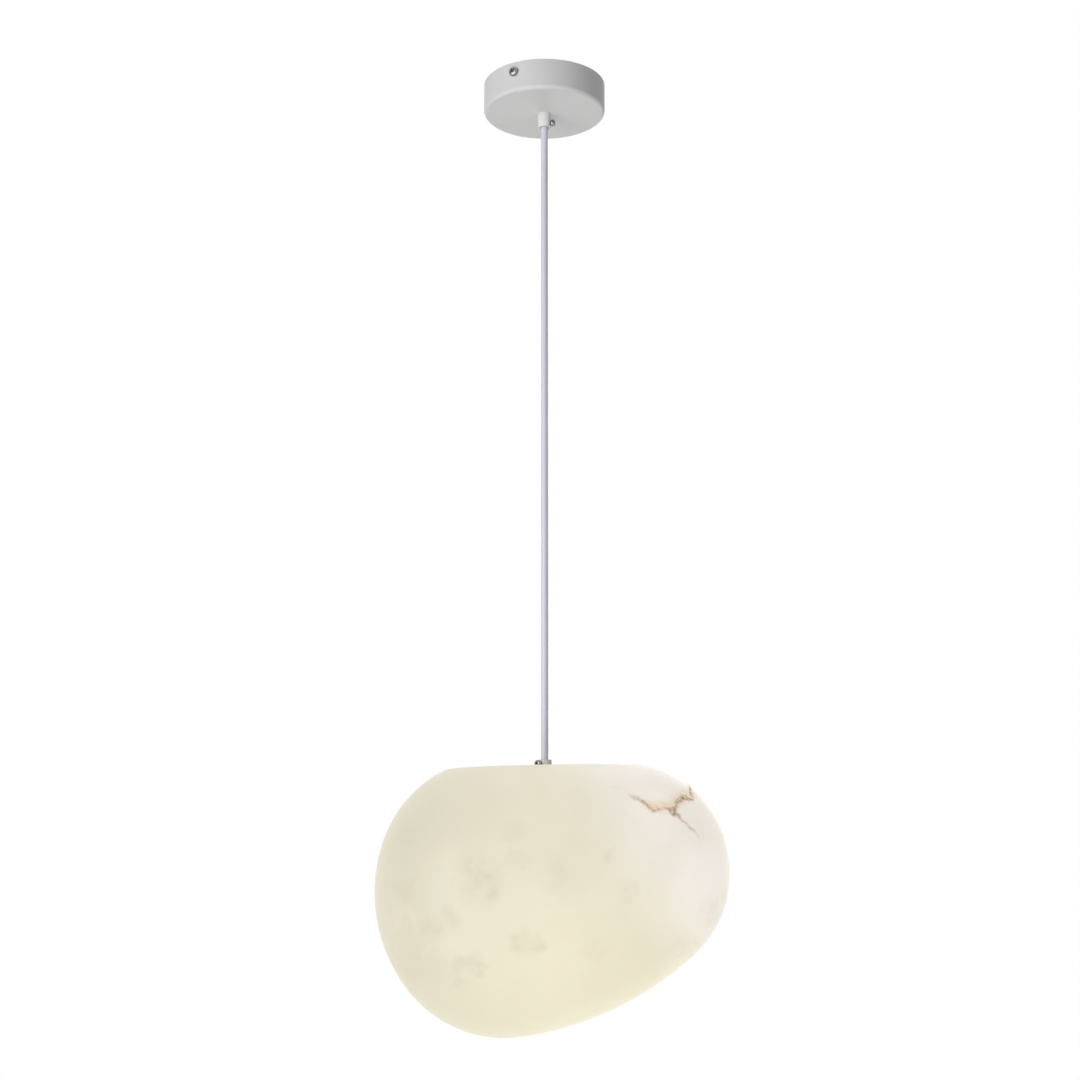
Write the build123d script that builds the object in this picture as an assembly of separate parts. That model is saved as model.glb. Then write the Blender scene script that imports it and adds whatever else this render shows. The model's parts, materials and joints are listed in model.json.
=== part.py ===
from build123d import *
import math
import os

# Pendant lamp: a round ceiling rose, one straight cord and a hollowed alabaster pebble as the shade.
# Millimetres, +Z up. The origin is on the ceiling, on the cord's axis, and the pebble lies along X.

# Play between pieces
FIT = 0.05
PLAY = 0.2
GAP = 0.3

# Standard threads, heads and nuts
M3_D = 3.0
M3_HEAD_D = 6.0
M3_HEAD_H = 2.4
M3_SMALL_HEAD_D = 5.0
M4_D = 4.0
M4_HEAD_D = 8.0
M4_HEAD_H = 3.0
M4_SMALL_HEAD_D = 7.0
M10_D = 9.9
M10_NUT_FLATS = 14.0
M10_NUT_H = 3.0
M10_WASHER_D = 18.0
M10_WASHER_T = 0.8

# Pan heads, as shares of the head's height or diameter
HEAD_ROUND = 0.7
RECESS_DEPTH = 0.55
RECESS_SPAN = 0.58
RECESS_W = 0.14

# Canopy, the white cup on the ceiling
CANOPY_D = 100.0
CANOPY_H = 25.0
CANOPY_WALL = 1.0
CANOPY_EDGE_R = 3.0
SIDE_SCREW_DROP = 8.25
SIDE_SCREW_L = 8.0

# Ceiling bracket: a bent strap, drawn along X and then turned to the side screws' direction
BRACKET_TURN = 60.5
STRAP_W = 16.0
STRAP_T = 1.5
STRAP_BEND_R = 2.5
EAR_DROP = 13.0
EAR_TIP_R = 3.0
CEILING_HOLE_D = 5.2
CEILING_HOLE_PCD = 64.0
CEILING_TIP_GAP = 0.2

# Terminal block under the bracket
TERMINAL_X = 19.0
TERMINAL_L = 17.0
TERMINAL_PITCH = 10.0
TERMINAL_BASE_T = 3.0
TERMINAL_BARREL_D = 7.6
TERMINAL_TURRET_D = 6.2
TERMINAL_BORE_DROP = 5.3
TERMINAL_H = 11.5
TERMINAL_SCREW_SPACING = 10.0
TERMINAL_BOSS_D = 6.0
TERMINAL_BOSS_H = 9.6
SLEEVE_D = 4.0
SLEEVE_BORE = 2.6
SLEEVE_L = 14.0
CLAMP_SCREW_D = 2.5
CLAMP_SCREW_L = 1.8
CLAMP_HEAD_D = 4.0
CLAMP_HEAD_H = 1.8
CLAMP_SLOT_W = 0.8

# Earth lugs, one on the bracket and one on the crossbar
LUG_RING_D = 8.0
LUG_T = 0.8
LUG_REACH = 5.8
LUG_TONGUE_W = 3.0
LUG_BARREL_D = 3.0
LUG_BARREL_H = 3.4
BRACKET_LUG_X = 16.0
CROSSBAR_LUG_X = 17.0
CROSSBAR_EARTH_SCREW_L = 5.0

# Cord grips, one under the canopy and one on the shade's cover plate
GRIP_D = 11.0
GRIP_L = 12.0
GRIP_EDGE_R = 0.5
GRIP_STEM_L = 8.0
MOUTH_D = 7.4
MOUTH_DEPTH = 1.6
MOUTH_CHAMFER = 0.7
GRIP_SCREW_DROP = 3.2
GRIP_SCREW_STANDOFF = 1.2
UPPER_SCREW_TURN = -20.0
LOWER_SCREW_TURN = -135.0

# Cord: its length from grip mouth to grip mouth, and the ball that it bends about at the top
CORD_D = 5.6
CORD_L = 520.0
CORD_SEAT = 6.0
NECK_D = 4.4
NECK_REACH = 1.2
TAIL_STICK_OUT = 1.0
TAIL_RECESS = 2.0
WIRE_D = 1.8
WIRE_RING_R = 1.45
UPPER_POLE_TURN = 60.0
LOWER_POLE_TURN = 120.0

# Pebble: four tangent arcs turned about an axis that rises towards the small end
NOSE_R = 117.0
SHOULDER_R = 93.0
SHOULDER_RISE = 11.56
FLANK_R = 246.7
TIP_R = 83.1
TIP_STATION = 92.24
PEBBLE_TILT = 11.72
PEBBLE_X = -32.53
PEBBLE_DROP = 95.65
STONE_WALL = 7.0
CAVITY_X = 0.14
RIM_SLOPE = 1.07
RIM_EDGE_R = 1.2
LEDGE_T = 12.0
SEAT_D = 92.0
SEAT_W = 7.0

# Cover plate in the stone's mouth and the bar that clamps it from below
PLATE_SINK = 5.5
PLATE_T = 2.0
GASKET_T = 1.0
GASKET_INSET = 0.4
CROSSBAR_REACH = 11.0
CROSSBAR_W = 20.0
CROSSBAR_T = 3.0
PAD_L = 8.0
PAD_W = 15.0
PAD_T = 1.5
CLAMP_X = 28.0
CLAMP_STICK_OUT = 2.0

# Lampholder, measured down from the crossbar's underside
NIPPLE_BORE = 7.5
NIPPLE_STICK_OUT = 1.0
NIPPLE_DROP = 9.0
HOLDER_D = 39.0
HOLDER_WALL = 2.0
HOLDER_COLLAR_D = 16.0
HOLDER_COLLAR_H = 5.0
HOLDER_CONE_H = 11.0
HOLDER_CAP_H = 27.0
HOLDER_NECK_H = 7.0
HOLDER_SHELL_H = 31.0
HOLDER_LIP_H = 3.0
HOLDER_COLLAR_R = 1.5
HOLDER_SHOULDER_R = 4.0
HOLDER_INSIDE_R = 2.5
INSERT_D = 30.6
INSERT_H = 14.0
INSERT_LEDGE_H = 2.0
INSERT_LEDGE_W = 0.9
SOCKET_D = 27.0
SOCKET_T = 0.5
SOCKET_H = 20.0
CONTACT_D = 7.0
CONTACT_H = 1.5
HOLDER_TERMINAL_Y = 9.0
HOLDER_SCREW_X = 5.5
HOLDER_SCREW_L = 5.0
WIRE_SINK = 3.0

# LED bulb with an E27 cap
BULB_CAP_D = 26.2
BULB_CAP_H = 20.0
BULB_CONTACT_D = 9.0
BULB_CONTACT_H = 1.5
BULB_CONTACT_R = 1.2
BULB_INSULATOR_H = 3.5
BULB_NECK_D = 28.0
BULB_NECK_H = 3.0
BULB_NECK_ROUND = 12.0
BULB_GLOBE_D = 60.0
BULB_SEAM_D = 49.0
BULB_BODY_H = 34.0
BULB_WALL = 1.4
LED_BOARD_T = 1.6
LED_COUNT = 8
LED_RING_R = 14.0
LED_SIDE = 3.0
LED_T = 0.8

# Heights worked out from the sizes above
UPPER_MOUTH = -CANOPY_H - GRIP_L
LOWER_MOUTH = UPPER_MOUTH - CORD_L
PLATE_TOP = LOWER_MOUTH - GRIP_L
RIM = PLATE_TOP + PLATE_SINK
SEAT = PLATE_TOP - PLATE_T - GASKET_T
LEDGE_BOTTOM = SEAT - LEDGE_T
CROSSBAR_TOP = LEDGE_BOTTOM - PAD_T
CROSSBAR_BOTTOM = CROSSBAR_TOP - CROSSBAR_T
HOLDER_JOINT = CROSSBAR_BOTTOM - HOLDER_CAP_H
INSERT_TOP = HOLDER_JOINT + HOLDER_NECK_H
INSERT_BOTTOM = INSERT_TOP - INSERT_H
BULB_TOP = INSERT_BOTTOM - CONTACT_H
BULB_CAP_TOP = BULB_TOP - BULB_CONTACT_H - BULB_INSULATOR_H
BULB_CAP_BOTTOM = BULB_CAP_TOP - BULB_CAP_H
BULB_SEAM = BULB_CAP_BOTTOM - BULB_BODY_H

# Radii, lengths and places that several pieces share
CANOPY_R = CANOPY_D / 2
EAR_X = math.sqrt((CANOPY_R - CANOPY_WALL - GAP) ** 2 - (STRAP_W / 2) ** 2)
GRIP_BORE = CORD_D + 2 * FIT
WIRE_BORE = WIRE_D + 2 * FIT
TERMINAL_AXIS = -STRAP_T - TERMINAL_BORE_DROP
TERMINAL_BOTTOM = -STRAP_T - TERMINAL_H
TERMINAL_BOSS_BOTTOM = -STRAP_T - TERMINAL_BOSS_H
CLAMP_HEAD_TOP = TERMINAL_AXIS - WIRE_D / 2 - FIT - CLAMP_SCREW_L
POLES_Y = (-TERMINAL_PITCH / 2, TERMINAL_PITCH / 2)
SCREWS_X = (TERMINAL_X - TERMINAL_SCREW_SPACING / 2, TERMINAL_X + TERMINAL_SCREW_SPACING / 2)
STONE_MOUTH_D = SEAT_D - 2 * SEAT_W
CROSSBAR_L = STONE_MOUTH_D + 2 * CROSSBAR_REACH

ROSE = Rot(0, 0, BRACKET_TURN)
FROM_BASE = (Align.CENTER, Align.CENTER, Align.MIN)


def facing(turn):
    """Level direction at an angle from +X."""
    return (math.cos(math.radians(turn)), math.sin(math.radians(turn)), 0)


UPPER_GRIP = Plane(origin=(0, 0, -CANOPY_H), x_dir=facing(UPPER_SCREW_TURN), z_dir=(0, 0, -1))
LOWER_GRIP = Plane(origin=(0, 0, PLATE_TOP), x_dir=facing(LOWER_SCREW_TURN), z_dir=(0, 0, 1))


def rod(diameter, low, high, x=0.0, y=0.0):
    """Upright round bar between two heights."""
    return Pos(x, y, low) * Cylinder(diameter / 2, high - low, align=FROM_BASE)


def cross_rod(diameter, start, end, y, z):
    """Round bar along X between two places."""
    return Pos(start, y, z) * Rot(0, 90, 0) * Cylinder(diameter / 2, end - start, align=FROM_BASE)


def ring(outer_d, inner_d, low, high, x=0.0, y=0.0):
    """Upright tube between two heights."""
    return rod(outer_d, low, high, x, y) - rod(inner_d, low, high, x, y)


def turned(corners, rounds=None):
    """Closed outline of (radius, height) corners turned about Z, with rounds as corner index to radius."""
    wanted = rounds or {}
    radii = [wanted.get(index, 0) for index in range(len(corners))]
    outline = FilletPolyline(*corners, radius=radii, close=True)
    return revolve(Plane.XZ * make_face(outline), Axis.Z)


def group(*shapes):
    """Separate solids that share one node."""
    return Compound([solid for shape in shapes for solid in shape.solids()])


def pan_screw(shank_d, head_d, head_h, length):
    """Cross-recessed pan-head screw: head seat on z = 0, shank below."""
    screw = turned(
        [
            (0, -length),
            (shank_d / 2, -length),
            (shank_d / 2, 0),
            (head_d / 2, 0),
            (head_d / 2, head_h),
            (0, head_h),
        ],
        {4: HEAD_ROUND * head_h},
    )
    recess_low = (1 - RECESS_DEPTH) * head_h
    slot = Pos(0, 0, recess_low) * Box(RECESS_SPAN * head_d, RECESS_W * head_d, head_h, align=FROM_BASE)
    return screw - slot - Rot(0, 0, 90) * slot


def hex_nut(flats, bore, low, high):
    """Hexagon nut with its corners bevelled on both faces."""
    height = high - low
    corner = flats / math.sqrt(3)
    bevel = (corner - flats / 2) * math.tan(math.radians(30))
    prism = extrude(RegularPolygon(flats / 2, 6, major_radius=False), height)
    blank = turned(
        [
            (bore / 2, 0),
            (flats / 2, 0),
            (corner, bevel),
            (corner, height - bevel),
            (flats / 2, height),
            (bore / 2, height),
        ]
    )
    return Pos(0, 0, low) * (prism & blank)


def wire(name, *points):
    """Insulated wire along straight runs and the largest tangent arcs that they allow."""
    places = [Vector(*point) for point in points]
    runs = [b - a for a, b in zip(places, places[1:])]
    radii = []
    for before, after in zip(runs, runs[1:]):
        half_turn = math.radians(before.get_angle(after)) / 2
        radii.append(0.45 * min(before.length, after.length) / math.tan(half_turn))
    path = FilletPolyline(*places, radius=radii)
    tube = sweep(Plane(path @ 0, z_dir=path % 0) * Circle(WIRE_D / 2), path=path)
    share = tube.volume / (math.pi * WIRE_D ** 2 / 4 * path.length)
    bends = [round(r, 1) for r in radii]
    print(name, "bend radii", bends, "volume over section times length", round(share, 4))
    return tube


# Ceiling rose


def ceiling_bracket():
    """Bent steel strap that is screwed to the ceiling, with a tapped ear at each end."""
    outer = EAR_X
    inner = EAR_X - STRAP_T
    inner_bend = STRAP_BEND_R - STRAP_T
    outline = FilletPolyline(
        (-outer, -EAR_DROP),
        (-outer, 0),
        (outer, 0),
        (outer, -EAR_DROP),
        (inner, -EAR_DROP),
        (inner, -STRAP_T),
        (-inner, -STRAP_T),
        (-inner, -EAR_DROP),
        radius=[0, STRAP_BEND_R, STRAP_BEND_R, 0, 0, inner_bend, inner_bend, 0],
        close=True,
    )
    strap = extrude(Plane.XZ * make_face(outline), STRAP_W / 2, both=True)
    strap = fillet(strap.edges().filter_by(Axis.X).group_by(Axis.Z)[0], EAR_TIP_R)
    for x in (-CEILING_HOLE_PCD / 2, CEILING_HOLE_PCD / 2):
        strap -= rod(CEILING_HOLE_D, -STRAP_T, 0, x)
    strap -= rod(M4_D + 2 * FIT, -STRAP_T, 0, -BRACKET_LUG_X)
    strap -= rod(M3_D + 2 * FIT, -STRAP_T, 0, TERMINAL_X)
    return strap - cross_rod(M4_D + 2 * FIT, -CANOPY_R, CANOPY_R, 0, -SIDE_SCREW_DROP)


def canopy_cup():
    """Spun cup with a rounded lower edge, a hole for the cord grip and two for the side screws."""
    cup = turned(
        [
            (M10_D / 2 + PLAY, -CANOPY_H),
            (CANOPY_R, -CANOPY_H),
            (CANOPY_R, 0),
            (CANOPY_R - CANOPY_WALL, 0),
            (CANOPY_R - CANOPY_WALL, -CANOPY_H + CANOPY_WALL),
            (M10_D / 2 + PLAY, -CANOPY_H + CANOPY_WALL),
        ],
        {1: CANOPY_EDGE_R, 4: CANOPY_EDGE_R - CANOPY_WALL},
    )
    return cup - cross_rod(M4_D + 2 * PLAY, -CANOPY_R, CANOPY_R, 0, -SIDE_SCREW_DROP)


def canopy_side_screws():
    """Two screws through the cup's wall into the bracket's ears."""
    screw = pan_screw(M4_D, M4_HEAD_D, M4_HEAD_H, SIDE_SCREW_L)
    sides = [Plane(origin=(s * CANOPY_R, 0, -SIDE_SCREW_DROP), z_dir=(s, 0, 0)) for s in (-1, 1)]
    return group(*[side * screw for side in sides])


def terminal_block():
    """Two-pole connector strip: a base, a barrel for each pole and a turret over each clamp screw."""
    start = TERMINAL_X - TERMINAL_L / 2
    end = TERMINAL_X + TERMINAL_L / 2
    base_h = TERMINAL_BASE_T
    base = Box(TERMINAL_L, 2 * TERMINAL_PITCH, base_h, align=FROM_BASE)
    block = Pos(TERMINAL_X, 0, -STRAP_T - base_h) * base
    block += rod(TERMINAL_BOSS_D, TERMINAL_BOSS_BOTTOM, -STRAP_T, TERMINAL_X)
    for y in POLES_Y:
        block += cross_rod(TERMINAL_BARREL_D, start, end, y, TERMINAL_AXIS)
        for x in SCREWS_X:
            block += rod(TERMINAL_TURRET_D, TERMINAL_BOTTOM, TERMINAL_AXIS, x, y)
    for y in POLES_Y:
        block -= cross_rod(SLEEVE_D + 2 * FIT, start, end, y, TERMINAL_AXIS)
        for x in SCREWS_X:
            block -= rod(CLAMP_HEAD_D + 2 * FIT, TERMINAL_BOTTOM, TERMINAL_AXIS, x, y)
    return block - rod(M3_D + 2 * PLAY, TERMINAL_BOSS_BOTTOM, -STRAP_T, TERMINAL_X)


def terminal_sleeves():
    """Brass tubes that join the wires, tapped below for the clamp screws."""
    sleeves = []
    for y in POLES_Y:
        start = TERMINAL_X - SLEEVE_L / 2
        end = TERMINAL_X + SLEEVE_L / 2
        sleeve = cross_rod(SLEEVE_D, start, end, y, TERMINAL_AXIS)
        sleeve -= cross_rod(SLEEVE_BORE, start, end, y, TERMINAL_AXIS)
        for x in SCREWS_X:
            sleeve -= rod(CLAMP_SCREW_D + 2 * FIT, TERMINAL_AXIS - SLEEVE_D, TERMINAL_AXIS, x, y)
        sleeves.append(sleeve)
    return group(*sleeves)


def terminal_clamp_screws():
    """Slotted screws in the turrets, each with its tip on the wire."""
    low = CLAMP_HEAD_TOP - CLAMP_HEAD_H
    screw = rod(CLAMP_SCREW_D, CLAMP_HEAD_TOP, CLAMP_HEAD_TOP + CLAMP_SCREW_L)
    screw += rod(CLAMP_HEAD_D, low, CLAMP_HEAD_TOP)
    screw -= Pos(0, 0, low) * Box(CLAMP_HEAD_D, CLAMP_SLOT_W, CLAMP_HEAD_H, align=Align.CENTER)
    return group(*[Pos(x, y, 0) * screw for y in POLES_Y for x in SCREWS_X])


def terminal_fixing_screw():
    """Screw up through the block's boss into the bracket."""
    length = -TERMINAL_BOSS_BOTTOM - CEILING_TIP_GAP
    seat = Plane(origin=(TERMINAL_X, 0, TERMINAL_BOSS_BOTTOM), z_dir=(0, 0, -1))
    return seat * pan_screw(M3_D, M3_SMALL_HEAD_D, M3_HEAD_H, length)


def earth_lug():
    """Crimped ring lug lying on z = 0, with its barrel bent upright on the +X side."""
    tongue = Pos(LUG_REACH / 2, 0, 0) * Box(LUG_REACH, LUG_TONGUE_W, LUG_T, align=FROM_BASE)
    lug = rod(LUG_RING_D, 0, LUG_T) + tongue
    lug += rod(LUG_BARREL_D, 0, LUG_BARREL_H, LUG_REACH)
    lug -= rod(WIRE_BORE, LUG_T, LUG_BARREL_H, LUG_REACH)
    return lug - rod(M4_D + 2 * PLAY, 0, LUG_T)


BRACKET_LUG = Plane(origin=(-BRACKET_LUG_X, 0, -STRAP_T), x_dir=(1, 0, 0), z_dir=(0, 0, -1))
CROSSBAR_LUG = Plane(origin=(CROSSBAR_LUG_X, 0, CROSSBAR_TOP), x_dir=(-1, 0, 0), z_dir=(0, 0, 1))


def earth_screw(length):
    """Pan-head screw that holds an earth lug down."""
    return Pos(0, 0, LUG_T) * pan_screw(M4_D, M4_SMALL_HEAD_D, M4_HEAD_H, length)


# Cord grips, the same part used twice


def cord_grip():
    """Moulded grip standing on z = 0, mouth up, with its threaded stem below."""
    grip = turned(
        [
            (GRIP_BORE / 2, -GRIP_STEM_L),
            (M10_D / 2, -GRIP_STEM_L),
            (M10_D / 2, 0),
            (GRIP_D / 2, 0),
            (GRIP_D / 2, GRIP_L),
            (MOUTH_D / 2 + MOUTH_CHAMFER, GRIP_L),
            (MOUTH_D / 2, GRIP_L - MOUTH_CHAMFER),
            (MOUTH_D / 2, GRIP_L - MOUTH_DEPTH),
            (GRIP_BORE / 2, GRIP_L - MOUTH_DEPTH - (MOUTH_D - GRIP_BORE) / 2),
        ],
        {4: GRIP_EDGE_R},
    )
    return grip - cross_rod(M3_D + 2 * FIT, 0, GRIP_D, 0, GRIP_L - GRIP_SCREW_DROP)


def grip_screw():
    """Screw from the side of the grip whose tip holds the cord."""
    head_x = GRIP_D / 2 + GRIP_SCREW_STANDOFF
    seat = Plane(origin=(head_x, 0, GRIP_L - GRIP_SCREW_DROP), z_dir=(1, 0, 0))
    return seat * pan_screw(M3_D, M3_HEAD_D, M3_HEAD_H, head_x - GRIP_BORE / 2)


def grip_washer(panel_t):
    """Flat washer behind the panel that the grip stands on."""
    return ring(M10_WASHER_D, M10_D + 2 * PLAY, -panel_t - M10_WASHER_T, -panel_t)


def grip_nut(panel_t):
    """Hexagon nut on the grip's stem."""
    high = -panel_t - M10_WASHER_T
    return hex_nut(M10_NUT_FLATS, M10_D + 2 * FIT, high - M10_NUT_H, high)


# Cord and its wires


def cord_neck():
    """Ball of cord in the upper grip's mouth, about which the cord bends."""
    return Pos(0, 0, UPPER_MOUTH) * Sphere(NECK_D / 2)


def suspension_cord():
    """Straight cord, cupped over the neck at its top and seated in the lower grip."""
    cord = rod(CORD_D, LOWER_MOUTH - CORD_SEAT, UPPER_MOUTH - NECK_REACH)
    return cord - Pos(0, 0, UPPER_MOUTH) * Sphere(NECK_D / 2 + GAP)


TAIL_TOP = -CANOPY_H + GRIP_STEM_L + TAIL_STICK_OUT
TAIL_BOTTOM = PLATE_TOP - GRIP_STEM_L + TAIL_RECESS


def cord_tail_upper():
    """Clamped end of the cord inside the upper grip."""
    return rod(CORD_D, UPPER_MOUTH + NECK_D / 2 + GAP, TAIL_TOP)


def cord_tail_lower():
    """Clamped end of the cord inside the lower grip."""
    return rod(CORD_D, TAIL_BOTTOM, LOWER_MOUTH - CORD_SEAT - GAP)


def wire_start(turn, z):
    """Place of one of the three wires in the cord's end."""
    x, y, _ = facing(turn)
    return (WIRE_RING_R * x, WIRE_RING_R * y, z)


def pole_wire_upper(name, side):
    """Wire from the cord's upper end into one pole of the terminal block."""
    x, y, z = wire_start(UPPER_POLE_TURN * side, TAIL_TOP)
    pole_y = side * TERMINAL_PITCH / 2
    start = TERMINAL_X - TERMINAL_L / 2
    return wire(
        name,
        (x, y, z),
        (x, y, TERMINAL_AXIS),
        (start - FIT, pole_y, TERMINAL_AXIS),
        (TERMINAL_X, pole_y, TERMINAL_AXIS),
    )


def earth_wire_upper():
    """Wire from the cord's upper end up into the bracket's earth lug."""
    x, y, z = wire_start(180, TAIL_TOP)
    barrel_x = -BRACKET_LUG_X + LUG_REACH
    barrel_mouth = -STRAP_T - LUG_BARREL_H
    rise = (barrel_mouth - z) / 3
    return wire(
        "earth_wire_upper",
        (x, y, z),
        (x, y, z + rise),
        (barrel_x, 0, barrel_mouth - rise),
        (barrel_x, 0, -STRAP_T - LUG_T),
    )


def pole_wire_lower(name, side):
    """Wire from the cord's lower end down through the nipple into the lampholder's insert."""
    x, y, z = wire_start(LOWER_POLE_TURN * side, TAIL_BOTTOM)
    nipple_low = CROSSBAR_BOTTOM - NIPPLE_DROP
    drop = (nipple_low - INSERT_TOP) / 3
    return wire(
        name,
        (x, y, z),
        (x, y, nipple_low - drop),
        (0, side * HOLDER_TERMINAL_Y, nipple_low - 2 * drop),
        (0, side * HOLDER_TERMINAL_Y, INSERT_TOP - WIRE_SINK),
    )


def earth_wire_lower():
    """Wire from the cord's lower end across into the crossbar's earth lug."""
    x, y, z = wire_start(0, TAIL_BOTTOM)
    barrel_x = CROSSBAR_LUG_X - LUG_REACH
    nipple_top = CROSSBAR_TOP + M10_NUT_H + NIPPLE_STICK_OUT
    level = (PLATE_TOP - GRIP_STEM_L + nipple_top) / 2
    return wire(
        "earth_wire_lower",
        (x, y, z),
        (x, y, level),
        (barrel_x, 0, level),
        (barrel_x, 0, CROSSBAR_TOP + LUG_T),
    )


# Stone shade


def pebble(inset=0.0):
    """Whole pebble, drawn in by inset: nose, shoulder, flank and tip arcs turned about the tilted axis."""
    nose = math.sqrt((NOSE_R - SHOULDER_R) ** 2 - SHOULDER_RISE ** 2)
    to_shoulder = FLANK_R - SHOULDER_R
    to_tip = FLANK_R - TIP_R
    span = math.hypot(TIP_STATION, SHOULDER_RISE)
    along = (to_shoulder ** 2 - to_tip ** 2 + span ** 2) / (2 * span)
    aside = math.sqrt(to_shoulder ** 2 - along ** 2)
    flank_x = (along * TIP_STATION - aside * SHOULDER_RISE) / span
    flank_y = SHOULDER_RISE - (along * SHOULDER_RISE + aside * TIP_STATION) / span
    nose_end = math.degrees(math.atan2(SHOULDER_RISE, -nose))
    shoulder_end = math.degrees(math.atan2(SHOULDER_RISE - flank_y, -flank_x))
    flank_end = math.degrees(math.atan2(-flank_y, TIP_STATION - flank_x))
    arcs = [
        CenterArc((nose, 0), NOSE_R - inset, 180, nose_end - 180),
        CenterArc((0, SHOULDER_RISE), SHOULDER_R - inset, nose_end, shoulder_end - nose_end),
        CenterArc((flank_x, flank_y), FLANK_R - inset, shoulder_end, flank_end - shoulder_end),
        CenterArc((TIP_STATION, 0), TIP_R - inset, flank_end, -flank_end),
    ]
    axis_line = Line(arcs[-1] @ 1, arcs[0] @ 0)
    whole = revolve(make_face([*arcs, axis_line]), Axis.X)
    return Pos(PEBBLE_X, 0, RIM - PEBBLE_DROP) * Rot(0, -PEBBLE_TILT, 0) * whole


def stone_shade():
    """Pebble sawn off at the top, hollowed to an even wall, with a stepped mouth for the cover plate."""
    sawn_top = Plane.XY.offset(RIM).rotated((0, -RIM_SLOPE, 0))
    stone = split(pebble(), sawn_top, keep=Keep.BOTTOM)
    stone = fillet(stone.faces().sort_by(Axis.Z)[-1].edges(), RIM_EDGE_R)
    cavity = Pos(CAVITY_X, 0, 0) * pebble(STONE_WALL)
    stone -= split(cavity, Plane.XY.offset(LEDGE_BOTTOM), keep=Keep.BOTTOM)
    stone -= rod(SEAT_D, SEAT, LOWER_MOUTH)
    return stone - rod(STONE_MOUTH_D, LEDGE_BOTTOM, SEAT)


def cover_plate():
    """Disc in the stone's mouth that carries the cord grip."""
    plate = ring(SEAT_D - 2 * GAP, M10_D + 2 * PLAY, PLATE_TOP - PLATE_T, PLATE_TOP)
    for x in (-CLAMP_X, CLAMP_X):
        plate -= rod(M4_D + 2 * PLAY, PLATE_TOP - PLATE_T, PLATE_TOP, x)
    return plate


def cover_gasket():
    """Flat ring between the cover plate and the stone's seat."""
    inner_d = STONE_MOUTH_D + 2 * GASKET_INSET
    return ring(SEAT_D - 2 * GAP, inner_d, SEAT, PLATE_TOP - PLATE_T)


def bar_blank(low, thickness):
    """Flat bar with round ends."""
    return Pos(0, 0, low) * extrude(SlotOverall(CROSSBAR_L, CROSSBAR_W), thickness)


def crossbar():
    """Bar under the stone's ledge, tapped for the clamp screws and the earth screw."""
    bar = bar_blank(CROSSBAR_BOTTOM, CROSSBAR_T)
    bar -= rod(M10_D + 2 * PLAY, CROSSBAR_BOTTOM, CROSSBAR_TOP)
    for x in (-CLAMP_X, CLAMP_X, CROSSBAR_LUG_X):
        bar -= rod(M4_D + 2 * FIT, CROSSBAR_BOTTOM, CROSSBAR_TOP, x)
    return bar


def crossbar_pads():
    """Rubber pads between the bar's ends and the stone, trimmed to the bar's outline."""
    inner = STONE_MOUTH_D / 2 + GASKET_INSET
    strip = Pos(inner + PAD_L / 2, 0, CROSSBAR_TOP) * Box(PAD_L, PAD_W, PAD_T, align=FROM_BASE)
    pad = strip & bar_blank(CROSSBAR_TOP, PAD_T)
    return group(pad, Rot(0, 0, 180) * pad)


def clamp_screws():
    """Two long screws that pull the bar up and the cover plate down on the stone."""
    screw = pan_screw(M4_D, M4_HEAD_D, M4_HEAD_H, PLATE_TOP - CROSSBAR_BOTTOM + CLAMP_STICK_OUT)
    return group(*[Pos(x, 0, PLATE_TOP) * screw for x in (-CLAMP_X, CLAMP_X)])


# Lampholder


def holder_nipple():
    """Threaded tube that joins the lampholder to the crossbar."""
    high = CROSSBAR_TOP + M10_NUT_H + NIPPLE_STICK_OUT
    return ring(M10_D, NIPPLE_BORE, CROSSBAR_BOTTOM - NIPPLE_DROP, high)


def holder_nut():
    """Hexagon nut on the nipple above the crossbar."""
    return hex_nut(M10_NUT_FLATS, M10_D + 2 * FIT, CROSSBAR_TOP, CROSSBAR_TOP + M10_NUT_H)


def lampholder_cap():
    """Bell-shaped cap with a threaded collar."""
    bore = M10_D / 2 + FIT
    outer = HOLDER_D / 2
    inner = outer - HOLDER_WALL
    collar = HOLDER_COLLAR_D / 2
    cone_top = HOLDER_COLLAR_H
    cone_low = HOLDER_COLLAR_H + HOLDER_CONE_H
    cap = turned(
        [
            (bore, 0),
            (collar, 0),
            (collar, -cone_top),
            (outer, -cone_low),
            (outer, -HOLDER_CAP_H),
            (inner, -HOLDER_CAP_H),
            (inner, -cone_low - HOLDER_WALL / 2),
            (collar - HOLDER_WALL / 2, -cone_top - HOLDER_WALL),
            (bore, -cone_top - HOLDER_WALL),
        ],
        {2: HOLDER_COLLAR_R, 3: HOLDER_SHOULDER_R, 6: HOLDER_INSIDE_R},
    )
    return Pos(0, 0, CROSSBAR_BOTTOM) * cap


def lampholder_shell():
    """Skirt that screws into the cap and holds the insert on an inner ledge."""
    outer = HOLDER_D / 2
    inner = outer - HOLDER_WALL
    neck = inner - FIT
    bore = INSERT_D / 2 + FIT
    ledge = INSERT_TOP - INSERT_H
    low = HOLDER_JOINT - HOLDER_SHELL_H
    return turned(
        [
            (bore, INSERT_TOP),
            (neck, INSERT_TOP),
            (neck, HOLDER_JOINT),
            (outer, HOLDER_JOINT),
            (outer, low + HOLDER_LIP_H),
            (inner, low),
            (inner - HOLDER_WALL / 2, low),
            (inner - HOLDER_WALL / 2, ledge - 2 * INSERT_LEDGE_H),
            (bore - INSERT_LEDGE_W, ledge - INSERT_LEDGE_H),
            (bore - INSERT_LEDGE_W, ledge),
            (bore, ledge),
        ]
    )


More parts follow.
